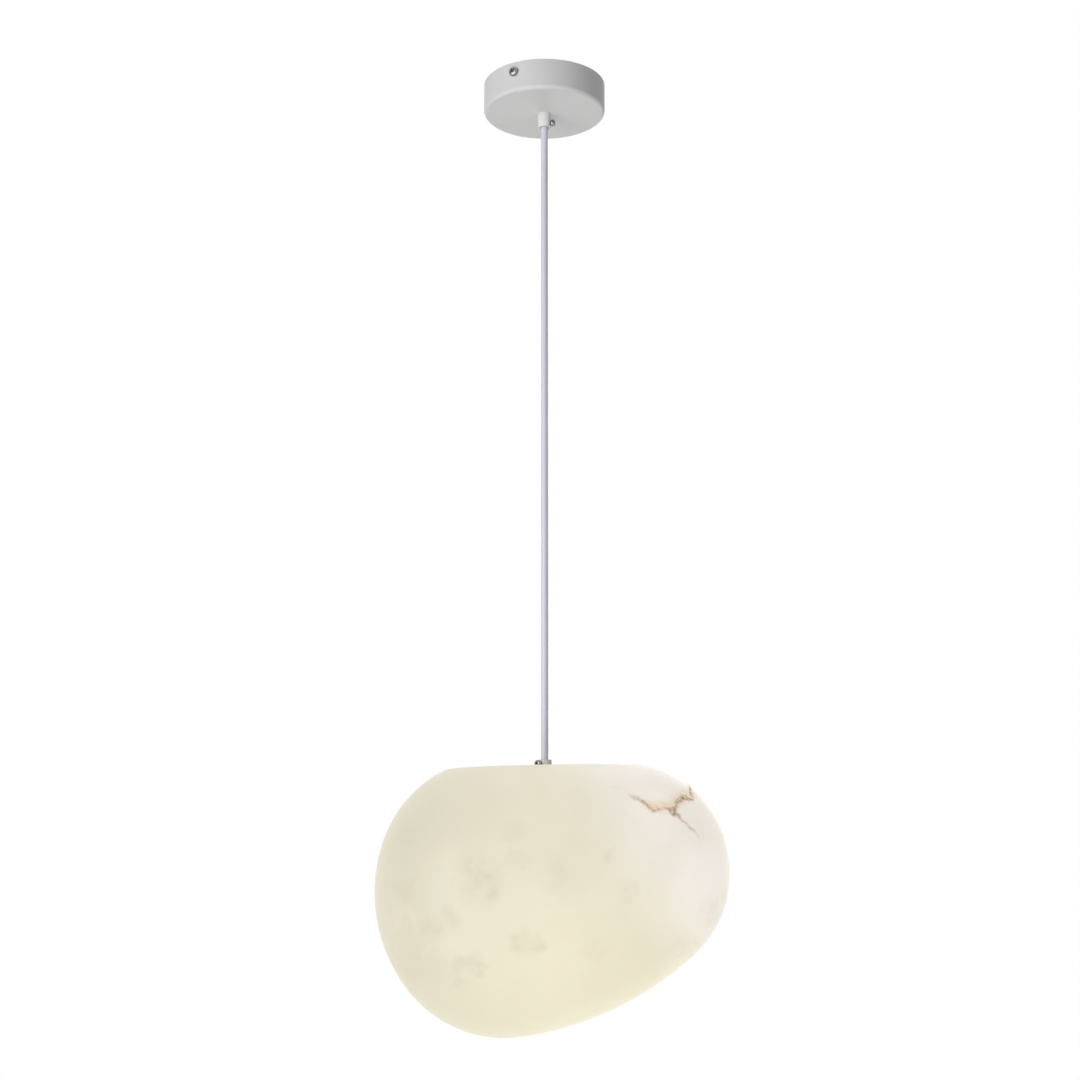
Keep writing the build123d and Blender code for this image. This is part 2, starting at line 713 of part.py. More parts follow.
def lampholder_insert():
    """Ceramic insert with holes for the wires and the terminal screws."""
    insert = rod(INSERT_D, INSERT_BOTTOM, INSERT_TOP)
    for side in (-1, 1):
        y = side * HOLDER_TERMINAL_Y
        insert -= rod(WIRE_BORE, INSERT_TOP - WIRE_SINK, INSERT_TOP, 0, y)
        insert -= rod(M3_D + 2 * FIT, INSERT_TOP - HOLDER_SCREW_L, INSERT_TOP, HOLDER_SCREW_X, y)
    return insert


def lampholder_terminal_screws():
    """Screws on the insert that clamp the two wires."""
    screw = pan_screw(M3_D, M3_SMALL_HEAD_D, M3_HEAD_H, HOLDER_SCREW_L)
    return group(*[Pos(HOLDER_SCREW_X, s * HOLDER_TERMINAL_Y, INSERT_TOP) * screw for s in (-1, 1)])


def lampholder_socket():
    """Brass thread sleeve under the insert that takes the bulb's cap."""
    return ring(SOCKET_D + 2 * SOCKET_T, SOCKET_D, INSERT_BOTTOM - SOCKET_H, INSERT_BOTTOM)


def lampholder_contact():
    """Centre contact under the insert."""
    return rod(CONTACT_D, INSERT_BOTTOM - CONTACT_H, INSERT_BOTTOM)


# LED bulb


def bulb_contact():
    """Solder button at the bulb's top."""
    return turned(
        [
            (0, BULB_TOP - BULB_CONTACT_H),
            (BULB_CONTACT_D / 2, BULB_TOP - BULB_CONTACT_H),
            (BULB_CONTACT_D / 2, BULB_TOP),
            (0, BULB_TOP),
        ],
        {2: BULB_CONTACT_R},
    )


def bulb_insulator():
    """Glass cone between the button and the screw cap."""
    high = BULB_TOP - BULB_CONTACT_H
    return turned(
        [
            (0, BULB_CAP_TOP),
            (BULB_CAP_D / 2 - BULB_WALL, BULB_CAP_TOP),
            (BULB_CONTACT_D / 2, high),
            (0, high),
        ]
    )


def bulb_screw_cap():
    """E27 cap, closed at the top and open towards the bulb's body."""
    outer = BULB_CAP_D / 2
    return turned(
        [
            (0, BULB_CAP_TOP),
            (outer, BULB_CAP_TOP),
            (outer, BULB_CAP_BOTTOM),
            (outer - BULB_WALL, BULB_CAP_BOTTOM),
            (outer - BULB_WALL, BULB_CAP_TOP - BULB_WALL),
            (0, BULB_CAP_TOP - BULB_WALL),
        ],
        {1: BULB_WALL},
    )


def bulb_body():
    """Heat-sink cone that widens from the cap to the globe's seam."""
    neck = BULB_NECK_D / 2
    seam = BULB_SEAM_D / 2
    neck_low = BULB_CAP_BOTTOM - BULB_NECK_H
    return turned(
        [
            (neck - BULB_WALL, BULB_CAP_BOTTOM),
            (neck, BULB_CAP_BOTTOM),
            (neck, neck_low),
            (seam, BULB_SEAM),
            (seam - BULB_WALL, BULB_SEAM),
            (neck - BULB_WALL, neck_low),
        ],
        {2: BULB_NECK_ROUND, 5: BULB_NECK_ROUND},
    )


def bulb_globe():
    """Opal dome: part of a sphere from the seam down."""
    radius = BULB_GLOBE_D / 2
    centre = BULB_SEAM - math.sqrt(radius ** 2 - (BULB_SEAM_D / 2) ** 2)
    shell = Pos(0, 0, centre) * (Sphere(radius) - Sphere(radius - BULB_WALL))
    return split(shell, Plane.XY.offset(BULB_SEAM), keep=Keep.BOTTOM)


def led_board():
    """Round board across the cone's wide end."""
    cone_slope = (BULB_SEAM_D - BULB_NECK_D) / (BULB_BODY_H - BULB_NECK_H)
    inside_d = BULB_SEAM_D - 2 * BULB_WALL - cone_slope * LED_BOARD_T
    return rod(inside_d - 2 * GAP, BULB_SEAM, BULB_SEAM + LED_BOARD_T)


def led_chips():
    """Ring of LEDs on the board's underside."""
    chip = Pos(LED_RING_R, 0, BULB_SEAM - LED_T) * Box(LED_SIDE, LED_SIDE, LED_T, align=FROM_BASE)
    return group(*[Rot(0, 0, index * 360 / LED_COUNT) * chip for index in range(LED_COUNT)])


PIECES = {
    "ceiling_bracket": ROSE * ceiling_bracket(),
    "canopy_cup": ROSE * canopy_cup(),
    "canopy_side_screws": ROSE * canopy_side_screws(),
    "terminal_block": ROSE * terminal_block(),
    "terminal_sleeves": ROSE * terminal_sleeves(),
    "terminal_clamp_screws": ROSE * terminal_clamp_screws(),
    "terminal_fixing_screw": ROSE * terminal_fixing_screw(),
    "bracket_earth_lug": ROSE * BRACKET_LUG.location * earth_lug(),
    "bracket_earth_screw": ROSE * BRACKET_LUG.location * earth_screw(LUG_T + STRAP_T - CEILING_TIP_GAP),
    "upper_cord_grip": UPPER_GRIP * cord_grip(),
    "upper_grip_screw": UPPER_GRIP * grip_screw(),
    "upper_grip_washer": UPPER_GRIP * grip_washer(CANOPY_WALL),
    "upper_grip_nut": UPPER_GRIP * grip_nut(CANOPY_WALL),
    "cord_tail_upper": cord_tail_upper(),
    "live_wire_upper": ROSE * pole_wire_upper("live_wire_upper", 1),
    "neutral_wire_upper": ROSE * pole_wire_upper("neutral_wire_upper", -1),
    "earth_wire_upper": ROSE * earth_wire_upper(),
    "cord_neck": cord_neck(),
    "suspension_cord": suspension_cord(),
    "lower_cord_grip": LOWER_GRIP * cord_grip(),
    "lower_grip_screw": LOWER_GRIP * grip_screw(),
    "lower_grip_washer": LOWER_GRIP * grip_washer(PLATE_T),
    "lower_grip_nut": LOWER_GRIP * grip_nut(PLATE_T),
    "cord_tail_lower": cord_tail_lower(),
    "live_wire_lower": pole_wire_lower("live_wire_lower", 1),
    "neutral_wire_lower": pole_wire_lower("neutral_wire_lower", -1),
    "earth_wire_lower": earth_wire_lower(),
    "stone_shade": stone_shade(),
    "cover_plate": cover_plate(),
    "cover_gasket": cover_gasket(),
    "clamp_screws": clamp_screws(),
    "crossbar": crossbar(),
    "crossbar_pads": crossbar_pads(),
    "crossbar_earth_lug": CROSSBAR_LUG * earth_lug(),
    "crossbar_earth_screw": CROSSBAR_LUG * earth_screw(CROSSBAR_EARTH_SCREW_L),
    "holder_nipple": holder_nipple(),
    "holder_nut": holder_nut(),
    "lampholder_cap": lampholder_cap(),
    "lampholder_shell": lampholder_shell(),
    "lampholder_insert": lampholder_insert(),
    "lampholder_terminal_screws": lampholder_terminal_screws(),
    "lampholder_socket": lampholder_socket(),
    "lampholder_contact": lampholder_contact(),
    "bulb_contact": bulb_contact(),
    "bulb_insulator": bulb_insulator(),
    "bulb_screw_cap": bulb_screw_cap(),
    "bulb_body": bulb_body(),
    "bulb_globe": bulb_globe(),
    "led_board": led_board(),
    "led_chips": led_chips(),
}

os.makedirs("parts", exist_ok=True)
for node, shape in PIECES.items():
    export_step(shape, f"parts/{node}.step")
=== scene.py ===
"""Pendant lamp with an alabaster shade: finishes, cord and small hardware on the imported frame."""

import json
import math

import bmesh
import bpy
from mathutils import Matrix, Vector


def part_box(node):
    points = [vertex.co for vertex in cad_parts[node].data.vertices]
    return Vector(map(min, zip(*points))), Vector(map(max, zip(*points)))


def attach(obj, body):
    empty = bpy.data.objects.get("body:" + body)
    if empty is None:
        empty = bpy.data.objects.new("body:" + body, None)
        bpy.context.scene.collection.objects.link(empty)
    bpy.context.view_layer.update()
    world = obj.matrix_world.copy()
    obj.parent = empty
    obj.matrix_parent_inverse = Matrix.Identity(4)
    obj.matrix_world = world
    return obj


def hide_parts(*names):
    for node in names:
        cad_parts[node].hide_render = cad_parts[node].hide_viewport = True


bl_info = {
    "name": "Alabaster Pendant Lamp",
    "version": (1, 0, 0),
    "blender": (4, 5, 0),
    "location": "View3D > Sidebar > Pendant",
    "description": "Finishes, cord and small hardware of a pendant lamp with a stone shade",
    "category": "Object",
}

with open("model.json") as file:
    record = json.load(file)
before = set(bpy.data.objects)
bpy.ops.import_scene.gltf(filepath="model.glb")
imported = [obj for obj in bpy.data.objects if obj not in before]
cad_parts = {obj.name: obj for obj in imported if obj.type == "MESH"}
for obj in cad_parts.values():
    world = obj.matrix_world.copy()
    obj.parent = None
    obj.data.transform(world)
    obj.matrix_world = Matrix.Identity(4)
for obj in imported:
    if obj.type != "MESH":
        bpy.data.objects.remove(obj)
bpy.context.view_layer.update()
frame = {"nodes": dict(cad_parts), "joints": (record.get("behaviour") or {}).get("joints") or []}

# Sizes in millimetres and turns in degrees, put into Blender's units where they are used
MM = 0.001
BRACKET_TURN = 60.5
UPPER_SCREW_TURN = -20.0
LOWER_SCREW_TURN = -135.0
SMOOTH_ANGLE = 40.0
SENSOR = 36.0
FLOOR_ROWS = 24

# Cord: heights of its inner control points, and the share by which the bend's creases draw in
CORD_HEIGHTS = (-200.0, -380.0)
BEND_ROWS = 32
BEND_CREASE = 0.035

# Cord grip: radius and height from its foot over the rim and into the mouth, its bore, stem and screw hole
GRIP_PROFILE = (
    (5.3, 0), (5.5, 0.2), (5.5, 11.5), (5.43, 11.75), (5.25, 11.93), (5.0, 12.0), (4.45, 12.0),
    (4.25, 11.88), (3.7, 11.3), (3.7, 10.4), (2.85, 9.55),
)
GRIP_BORE_R = 2.85
GRIP_STEM = 8.0
GRIP_HOLE_D = 3.1
GRIP_HOLE_DEPTH = 6.6
GRIP_HOLE_RISE = 8.8

# Threads: points round a turn, rings along one, and depth as a share of the pitch
THREAD_STEPS = 32
THREAD_ROWS = 8
THREAD_DEPTH = 0.61
M10_OUTER = 9.9
M10_PITCH = 1.0
NIPPLE_BORE = 7.5

# E27 thread of socket and bulb: the cap's shoulder is in shares of its radius
E27_PITCH = 3.62
E27_DEPTH = 0.9
E27_RUN_IN = 2.0
SOCKET_SHEET = 0.4
CAP_WALL = 1.4
CAP_EDGE = 0.4
CAP_SHOULDER = (0.5, 0.91)

# Pan-head screws: the head's curve and its cross recess are in shares of its diameter and height
M3 = {"shank_d": 3.0 * MM, "head_h": 2.4 * MM, "pitch": 0.5 * MM}
M4 = {"shank_d": 4.0 * MM, "head_h": 3.0 * MM, "pitch": 0.7 * MM}
HEAD_ROWS = 10
HEAD_CURVE = 0.55
HEAD_EDGE = 0.1
HEAD_FOOT = 0.97
SHANK_GAP = 0.02
RECESS_SPAN = 0.62
RECESS_WIDTH = 0.15
RECESS_TOP = 1.2
RECESS_FLOOR = 0.3

# Seams on the front of the stone, by branch: x, z, half width, and how faint it is there, 0 being dark
RUSTY_SEAM = (
    ((70.2, -590.6, 1.3, 0.9), (74.3, -594.5, 1.7, 0.8), (78.4, -597.7, 1.9, 0.7), (83.8, -596.2, 1.9, 1.0),
     (88.7, -595.7, 1.7, 1.0), (91.3, -597.2, 1.6, 0.5), (94.4, -600.0, 1.6, 0.1)),
    ((94.7, -600.0, 1.6, 0.1), (95.3, -595.2, 1.7, 0.5), (97.3, -591.7, 2.0, 0.9), (99.5, -590.0, 2.0, 0.5),
     (101.5, -588.7, 1.7, 0.0), (104.5, -588.2, 1.5, 0.2), (109.1, -588.9, 1.2, 0.5)),
    ((92.5, -596.5, 0.8, 0.8), (95.5, -591.5, 0.9, 1.0), (99.0, -588.2, 0.9, 0.9)),
    ((101.4, -585.3, 0.8, 0.9), (104.6, -586.9, 0.9, 0.7), (110.2, -589.3, 0.9, 0.7)),
    ((109.7, -576.1, 1.4, 0.5), (109.9, -579.9, 1.4, 0.3), (109.0, -583.5, 1.3, 0.6),
     (110.0, -587.4, 1.2, 0.7)),
)
GREY_SEAM = (
    ((44.8, -580.3, 1.2, 1.8), (50.6, -580.8, 1.2, 1.4), (57.4, -581.7, 1.2, 1.7), (60.0, -584.1, 1.2, 1.7)),
    ((60.4, -585.5, 1.3, 1.4), (65.6, -588.6, 1.4, 0.2), (71.3, -591.4, 1.4, 0.5), (73.8, -593.7, 1.2, 1.3)),
    ((94.6, -600.0, 1.5, 0.6), (97.4, -601.0, 1.6, 0.5), (99.6, -603.8, 1.7, 0.8), (103.8, -607.9, 1.7, 0.9),
     (107.5, -611.0, 1.7, 0.9), (111.3, -614.6, 1.7, 1.2), (113.3, -619.7, 2.0, 1.6),
     (113.3, -623.8, 2.0, 2.1)),
)
GOLD_SEAM = (
    ((64, -587, 2.4, 1.2), (72, -591.5, 3.0, 0.6), (79, -595.2, 3.4, 0.1), (86, -594.0, 3.4, 0.1),
     (93, -594.5, 3.6, 0.0), (98, -590.0, 3.8, 0.0), (104, -586.5, 3.8, 0.0), (109.5, -584.0, 3.4, 0.0),
     (110.5, -578.0, 2.6, 0.4)),
    ((93, -594.5, 3.4, 0.1), (96, -600.0, 2.8, 0.5), (102, -606.0, 2.2, 1.4)),
)
# Round marks in the stone: x, z, radius and how strong it is
CRYSTAL = ((96.2, -599.0, 0.9, 0.95),)
GREY_PATCHES = (
    (-48, -647, 18, 0.5), (-36, -652, 8, 0.5), (-20, -634, 9, 0.28), (-22, -614, 8, 0.22),
    (10, -645, 16, 0.22), (45, -632, 6, 0.24), (58, -656, 8, 0.2), (-101, -656, 9, 0.45),
    (-66, -672, 7, 0.42), (-81, -682, 8, 0.45), (-16, -689, 8, 0.34), (-6, -691, 8, 0.34),
    (-60, -704, 8, 0.5), (-50, -705, 8, 0.55), (-64, -716, 8, 0.4), (33, -695, 12, 0.15),
    # The wide patch at x -100, z -708 is partly a grey patch and partly painted shade on the big end's lower
    # edge
    (-104, -616, 9, 0.2), (134, -674, 22, 0.36), (110, -698, 16, 0.2), (-100, -708, 24, 0.3),
)
HEALED_CRACKS = ((-66, -703, 24, 1.0), (-104, -676, 18, 0.7), (-40, -718, 14, 0.5))


def linear(hex_colour):
    """Linear RGBA of an sRGB hex colour."""
    channels = [int(hex_colour[at:at + 2], 16) / 255 for at in (1, 3, 5)]
    return tuple(c / 12.92 if c <= 0.04045 else ((c + 0.055) / 1.055) ** 2.4 for c in channels) + (1.0,)


def per_metre(size_mm):
    """Texture scale at which one feature is that many millimetres wide."""
    return 1 / (size_mm * MM)


def node(tree, kind, sockets=None, **settings):
    """Adds a shader node. sockets gives inputs, by identifier, a value or a link; the outputs come back."""
    made = tree.nodes.new("ShaderNode" + kind)
    for name, value in settings.items():
        setattr(made, name, value)
    inputs = {socket.identifier: socket for socket in made.inputs}
    for name, value in (sockets or {}).items():
        if isinstance(value, bpy.types.NodeSocket):
            tree.links.new(value, inputs[name])
        else:
            inputs[name].default_value = value
    return {socket.identifier: socket for socket in made.outputs}


def new_material(name):
    """Empty material, its tree and the coordinates of a place on it."""
    made = bpy.data.materials.new(name)
    made.cycles.emission_sampling = "NONE"  # bounced light finds a broad glow with less noise
    made.use_nodes = True
    made.node_tree.nodes.clear()
    return made, made.node_tree, node(made.node_tree, "TexCoord")["Object"]


def close_material(made, sockets):
    """Ends a material in one principled surface, and hands it on."""
    shader = node(made.node_tree, "BsdfPrincipled", sockets)["BSDF"]
    node(made.node_tree, "OutputMaterial", {"Surface": shader})
    return made


def finish(build):
    """The material that a function makes, made once."""
    name = build.__name__.replace("_", " ").capitalize()
    return bpy.data.materials.get(name) or build(name)


def drifting_tint(tree, place, dark, light, size, detail=2.0):
    """Colour that drifts between two tones in clouds of one size, and the clouds."""
    cloud = node(tree, "TexNoise", {"Vector": place, "Scale": per_metre(size), "Detail": detail})["Fac"]
    tones = {"Factor_Float": cloud, "A_Color": dark, "B_Color": light}
    return node(tree, "Mix", tones, data_type="RGBA")["Result_Color"], cloud


def fine_grain(tree, place, size, strength, depth, detail=2.0):
    """Normal of a surface with grain of one size and depth, and the grain."""
    grain = node(tree, "TexNoise", {"Vector": place, "Scale": per_metre(size), "Detail": detail})["Fac"]
    bump = node(tree, "Bump", {"Height": grain, "Strength": strength, "Distance": depth * MM})["Normal"]
    return bump, grain


def seen_directly(tree):
    """1 for what the camera sees, also in metal and through glass, and 0 for light on its way."""
    path = node(tree, "LightPath")
    seen = path["Is Camera Ray"]
    for ray in ("Is Glossy Ray", "Is Transmission Ray"):
        seen = node(tree, "Math", {"Value": seen, "Value_001": path[ray]}, operation="MAXIMUM")["Value"]
    return seen


# Materials


def powder_coated_steel_white(name):
    """White powder coat on steel: a satin skin with a fine orange peel, a touch greyer in clouds."""
    made, tree, place = new_material(name)
    coat = bpy.context.scene.pendant_metal.coat
    tint, _ = drifting_tint(tree, place, (*(coat * 0.96), 1.0), (*coat, 1.0), size=18)
    bump, peel = fine_grain(tree, place, size=0.9, strength=0.25, depth=0.03)
    gloss = node(tree, "MapRange", {"Value": peel, "To Min": 0.5, "To Max": 0.62})["Result"]
    return close_material(made, {"Base Color": tint, "Roughness": gloss, "Normal": bump, "IOR": 1.5})


def zinc_plated_steel_bright(name):
    """Zinc plating on pressed steel: bluish bright metal, clouded, with fine rolling lines."""
    made, tree, place = new_material(name)
    rolled = node(tree, "Mapping", {"Vector": place, "Scale": (1.0, 1.0, 0.08)})["Vector"]
    bump, _ = fine_grain(tree, rolled, size=0.5, strength=0.2, depth=0.02, detail=3.0)
    tint, cloud = drifting_tint(tree, place, linear("#A2A8AE"), linear("#C3C5C5"), size=5, detail=4.0)
    gloss = node(tree, "MapRange", {"Value": cloud, "To Min": 0.22, "To Max": 0.44})["Result"]
    return close_material(made, {"Base Color": tint, "Metallic": 1.0, "Roughness": gloss, "Normal": bump})


def nickel_plated_steel(name):
    """Nickel plating on small screws: bright grey metal with hairline scratches."""
    made, tree, place = new_material(name)
    brushed = node(tree, "Mapping", {"Vector": place, "Scale": (1.0, 0.1, 1.0)})["Vector"]
    tint, hairs = drifting_tint(tree, brushed, linear("#777674"), linear("#9A9997"), size=0.25)
    gloss = node(tree, "MapRange", {"Value": hairs, "To Min": 0.1, "To Max": 0.28})["Result"]
    return close_material(made, {"Base Color": tint, "Metallic": 1.0, "Roughness": gloss})


def moulded_nylon_white(name):
    """White nylon, injection moulded: milky, satin, with a faint eroded-mould grain."""
    made, tree, place = new_material(name)
    tint, _ = drifting_tint(tree, place, linear("#E6E6E3"), linear("#F0F0EE"), size=6)
    bump, _ = fine_grain(tree, place, size=0.35, strength=0.3, depth=0.02)
    milk = {"Subsurface Weight": 0.15, "Subsurface Radius": (1.0, 1.0, 0.9), "Subsurface Scale": 1.2 * MM}
    return close_material(made, {"Base Color": tint, "Roughness": 0.42, "IOR": 1.53, "Normal": bump, **milk})


def extruded_pvc_sheath(name):
    """Lavender-white PVC cord sheath, extruded: satin, with die lines drawn coarse enough to show."""
    made, tree, place = new_material(name)
    sheath = bpy.context.scene.pendant_cord.sheath
    along = node(tree, "Mapping", {"Vector": place, "Scale": (1.0, 1.0, 0.004)})["Vector"]
    bump, _ = fine_grain(tree, along, size=2.5, strength=0.2, depth=0.05, detail=0.0)
    tint, handling = drifting_tint(tree, place, (*(sheath * 0.97), 1.0), (*sheath, 1.0), size=30, detail=3.0)
    gloss = node(tree, "MapRange", {"Value": handling, "To Min": 0.34, "To Max": 0.44})["Result"]
    return close_material(made, {"Base Color": tint, "Roughness": gloss, "IOR": 1.53, "Normal": bump})


def moulded_polyamide_cream(name):
    """Cream polyamide of a connector strip: slightly waxy, with a soft mould grain."""
    made, tree, place = new_material(name)
    tint, _ = drifting_tint(tree, place, linear("#E9E4D3"), linear("#F3F0E4"), size=4)
    bump, _ = fine_grain(tree, place, size=0.4, strength=0.3, depth=0.02)
    milk = {"Subsurface Weight": 0.25, "Subsurface Radius": (1.0, 0.9, 0.7), "Subsurface Scale": 1.5 * MM}
    return close_material(made, {"Base Color": tint, "Roughness": 0.38, "IOR": 1.53, "Normal": bump, **milk})


def turned_brass(name):
    """Turned brass: warm metal, duller where it has begun to tarnish."""
    made, tree, place = new_material(name)
    tint, tarnish = drifting_tint(tree, place, linear("#B08D4A"), linear("#DCBE78"), size=3, detail=4.0)
    gloss = node(tree, "MapRange", {"Value": tarnish, "To Min": 0.38, "To Max": 0.2})["Result"]
    return close_material(made, {"Base Color": tint, "Metallic": 1.0, "Roughness": gloss})


def wire_insulation(name, dark, light):
    """PVC insulation of one colour: smooth, with a slight mottle from the extruder."""
    made, tree, place = new_material(name)
    tint, mottle = drifting_tint(tree, place, linear(dark), linear(light), size=2.5, detail=3.0)
    gloss = node(tree, "MapRange", {"Value": mottle, "To Min": 0.3, "To Max": 0.42})["Result"]
    return close_material(made, {"Base Color": tint, "Roughness": gloss, "IOR": 1.53})


def brown_pvc(name):
    """Brown insulation of the live wire."""
    return wire_insulation(name, "#4A2A18", "#6A3F26")


def blue_pvc(name):
    """Blue insulation of the neutral wire."""
    return wire_insulation(name, "#123E8C", "#2A63B8")


def striped_pvc(name, across):
    """Earth wire's insulation: green with a yellow stripe on the two sides that face across its route."""
    made, tree, place = new_material(name)
    sockets = {"Vector": place.node.outputs["Normal"], "Vector_001": across}
    side = node(tree, "VectorMath", sockets, operation="DOT_PRODUCT")["Value"]
    size = node(tree, "Math", {"Value": side}, operation="ABSOLUTE")["Value"]
    stripe = node(tree, "MapRange", {"Value": size, "From Min": 0.5, "From Max": 0.56})["Result"]
    tones = {"Factor_Float": stripe, "A_Color": linear("#2E7A36"), "B_Color": linear("#E8CF3A")}
    tint = node(tree, "Mix", tones, data_type="RGBA")["Result_Color"]
    return close_material(made, {"Base Color": tint, "Roughness": 0.36, "IOR": 1.53})


def moulded_rubber_black(name):
    """Black rubber: matte, with a dusty bloom and a fine grain."""
    made, tree, place = new_material(name)
    tint, _ = drifting_tint(tree, place, linear("#1C1C1D"), linear("#333231"), size=7, detail=4.0)
    bump, _ = fine_grain(tree, place, size=0.4, strength=0.4, depth=0.03)
    return close_material(made, {"Base Color": tint, "Roughness": 0.75, "IOR": 1.52, "Normal": bump})


def moulded_thermoplastic_white(name):
    """White thermoplastic of lampholders and bulb bodies: even, softly glossy, with a faint grain."""
    made, tree, place = new_material(name)
    tint, grain = drifting_tint(tree, place, linear("#E4E3DF"), linear("#EFEEEA"), size=0.5)
    bump = node(tree, "Bump", {"Height": grain, "Strength": 0.2, "Distance": 0.02 * MM})["Normal"]
    return close_material(made, {"Base Color": tint, "Roughness": 0.3, "IOR": 1.58, "Normal": bump})


def fired_porcelain(name):
    """Unglazed porcelain of a lampholder's insert: off-white, dry, with fine specks."""
    made, tree, place = new_material(name)
    bump, speck = fine_grain(tree, place, size=1.2, strength=0.3, depth=0.03, detail=5.0)
    spots = node(tree, "MapRange", {"Value": speck, "From Min": 0.62, "From Max": 0.7})["Result"]
    tones = {"Factor_Float": spots, "A_Color": linear("#EFEBE1"), "B_Color": linear("#CFC8B8")}
    tint = node(tree, "Mix", tones, data_type="RGBA")["Result_Color"]
    return close_material(made, {"Base Color": tint, "Roughness": 0.55, "IOR": 1.5, "Normal": bump})


def pressed_black_glass(name):
    """Black glass of a bulb's insulator: deep and glossy with a slight ripple."""
    made, tree, place = new_material(name)
    bump, _ = fine_grain(tree, place, size=2, strength=0.2, depth=0.05)
    return close_material(
        made, {"Base Color": linear("#17171A"), "Roughness": 0.08, "IOR": 1.52, "Normal": bump}
    )


def drawn_aluminium(name):
    """Drawn aluminium: pale grey metal, satin, with drawing lines."""
    made, tree, place = new_material(name)
    drawn = node(tree, "Mapping", {"Vector": place, "Scale": (1.0, 1.0, 0.1)})["Vector"]
    tint, lines = drifting_tint(tree, drawn, linear("#C9CACB"), linear("#DEDFDF"), size=0.6, detail=3.0)
    gloss = node(tree, "MapRange", {"Value": lines, "To Min": 0.25, "To Max": 0.4})["Result"]
    return close_material(made, {"Base Color": tint, "Metallic": 1.0, "Roughness": gloss})


def opal_polycarbonate(name):
    """Opal bulb globe, blow moulded and lit: an even warm glow, slightly stronger low on the dome."""
    made, tree, place = new_material(name)
    low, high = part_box("bulb_globe")
    height = node(tree, "SeparateXYZ", {"Vector": place})["Z"]
    rise = node(tree, "MapRange", {"Value": height, "From Min": low.z, "From Max": high.z})["Result"]
    tones = {"Factor_Float": rise, "A_Color": linear("#FFF0D2"), "B_Color": linear("#F3DDB4")}
    sockets = {
        "Base Color": linear("#F4EFE2"),
        "Roughness": 0.35,
        "IOR": 1.58,
        "Emission Color": node(tree, "Mix", tones, data_type="RGBA")["Result_Color"],
        "Emission Strength": 0.6,
    }
    return close_material(made, sockets)


def phosphor_gel(name):
    """LED phosphor: saturated yellow gel, lit."""
    made, tree, place = new_material(name)
    tint, _ = drifting_tint(tree, place, linear("#E9B62C"), linear("#F6D560"), size=0.4, detail=3.0)
    sockets = {"Base Color": tint, "Roughness": 0.4, "Emission Color": tint, "Emission Strength": 1.0}
    return close_material(made, sockets)


def warped_front(tree, place, size, throw):
    """Place seen along Y, pushed about by noise of one feature size so that outlines come out ragged."""
    noise = node(tree, "TexNoise", {"Vector": place, "Scale": per_metre(size), "Detail": 4.0})["Color"]
    centred = {"Vector": noise, "Vector_001": (0.5, 0.5, 0.5)}
    push = node(tree, "VectorMath", centred, operation="SUBTRACT")["Vector"]
    flat = {"Vector": place, "Vector_001": (1.0, 0.0, 1.0)}
    front = node(tree, "VectorMath", flat, operation="MULTIPLY")["Vector"]
    moved = {"Vector": push, "Vector_001": (throw * MM, 0.0, throw * MM), "Vector_002": front}
    return node(tree, "VectorMath", moved, operation="MULTIPLY_ADD")["Vector"]


def seam_distance(tree, jagged, branches):
    """Distance to the nearest branch of a seam, in half widths, plus how faint the seam is there."""
    nearest = 99.0  # further away than a seam shows
    for branch in branches:
        for (x, z, width, faint), (to_x, to_z, to_width, to_faint) in zip(branch, branch[1:]):
            start = Vector((x, 0, z)) * MM
            run = Vector((to_x, 0, to_z)) * MM - start
            sockets = {"Vector": jagged, "Vector_001": start}
            offset = node(tree, "VectorMath", sockets, operation="SUBTRACT")["Vector"]
            sockets = {"Vector": offset, "Vector_001": run / run.length_squared}
            share = node(tree, "VectorMath", sockets, operation="DOT_PRODUCT")["Value"]
            along = node(tree, "Clamp", {"Value": share})["Result"]
            foot = node(tree, "VectorMath", {"Vector": run, "Scale": along}, operation="SCALE")["Vector"]
            sockets = {"Vector": offset, "Vector_001": foot}
            away = node(tree, "VectorMath", sockets, operation="DISTANCE")["Value"]
            paling = node(tree, "MapRange", {"Value": along, "To Min": faint, "To Max": to_faint})["Result"]
            sockets = {"Value": away, "Value_001": 2 * per_metre(width + to_width), "Value_002": paling}
            reached = node(tree, "Math", sockets, operation="MULTIPLY_ADD")["Value"]
            sockets = {"Value": nearest, "Value_001": reached}
            nearest = node(tree, "Math", sockets, operation="MINIMUM")["Value"]
    return nearest


def mark_cover(tree, ragged, marks, spread):
    """How much a point is covered by the strongest of some soft round marks."""
    cover = 0.0
    for x, z, radius, most in marks:
        sockets = {"Vector": ragged, "Vector_001": Vector((x, 0, z)) * MM}
        away = node(tree, "VectorMath", sockets, operation="DISTANCE")["Value"]
        sockets = {"Value": away, "From Max": spread * radius * MM, "To Min": most, "To Max": 0.0}
        inside = node(tree, "MapRange", sockets, interpolation_type="SMOOTHSTEP")["Result"]
        cover = node(tree, "Math", {"Value": cover, "Value_001": inside}, operation="MAXIMUM")["Value"]
    return cover


def stone_ends(tree, place):
    """Shares of the duller big end, and of the small end that pales towards its top; that paling is partly
    the stone's own paler tone and partly a painted highlight on its upper side.
    """
    shares = []
    # The second row leans with height, so the pale end's painted highlight sits high on the small end
    for lean, start, end in ((0.15, -88, -218), (0.6, -355, -270)):
        sockets = {"Vector": place, "Vector_001": (1.0, 0.0, lean)}
        along = node(tree, "VectorMath", sockets, operation="DOT_PRODUCT")["Value"]
        sockets = {"Value": along, "From Min": start * MM, "From Max": end * MM}
        shares.append(node(tree, "MapRange", sockets, interpolation_type="SMOOTHSTEP")["Result"])
    return shares


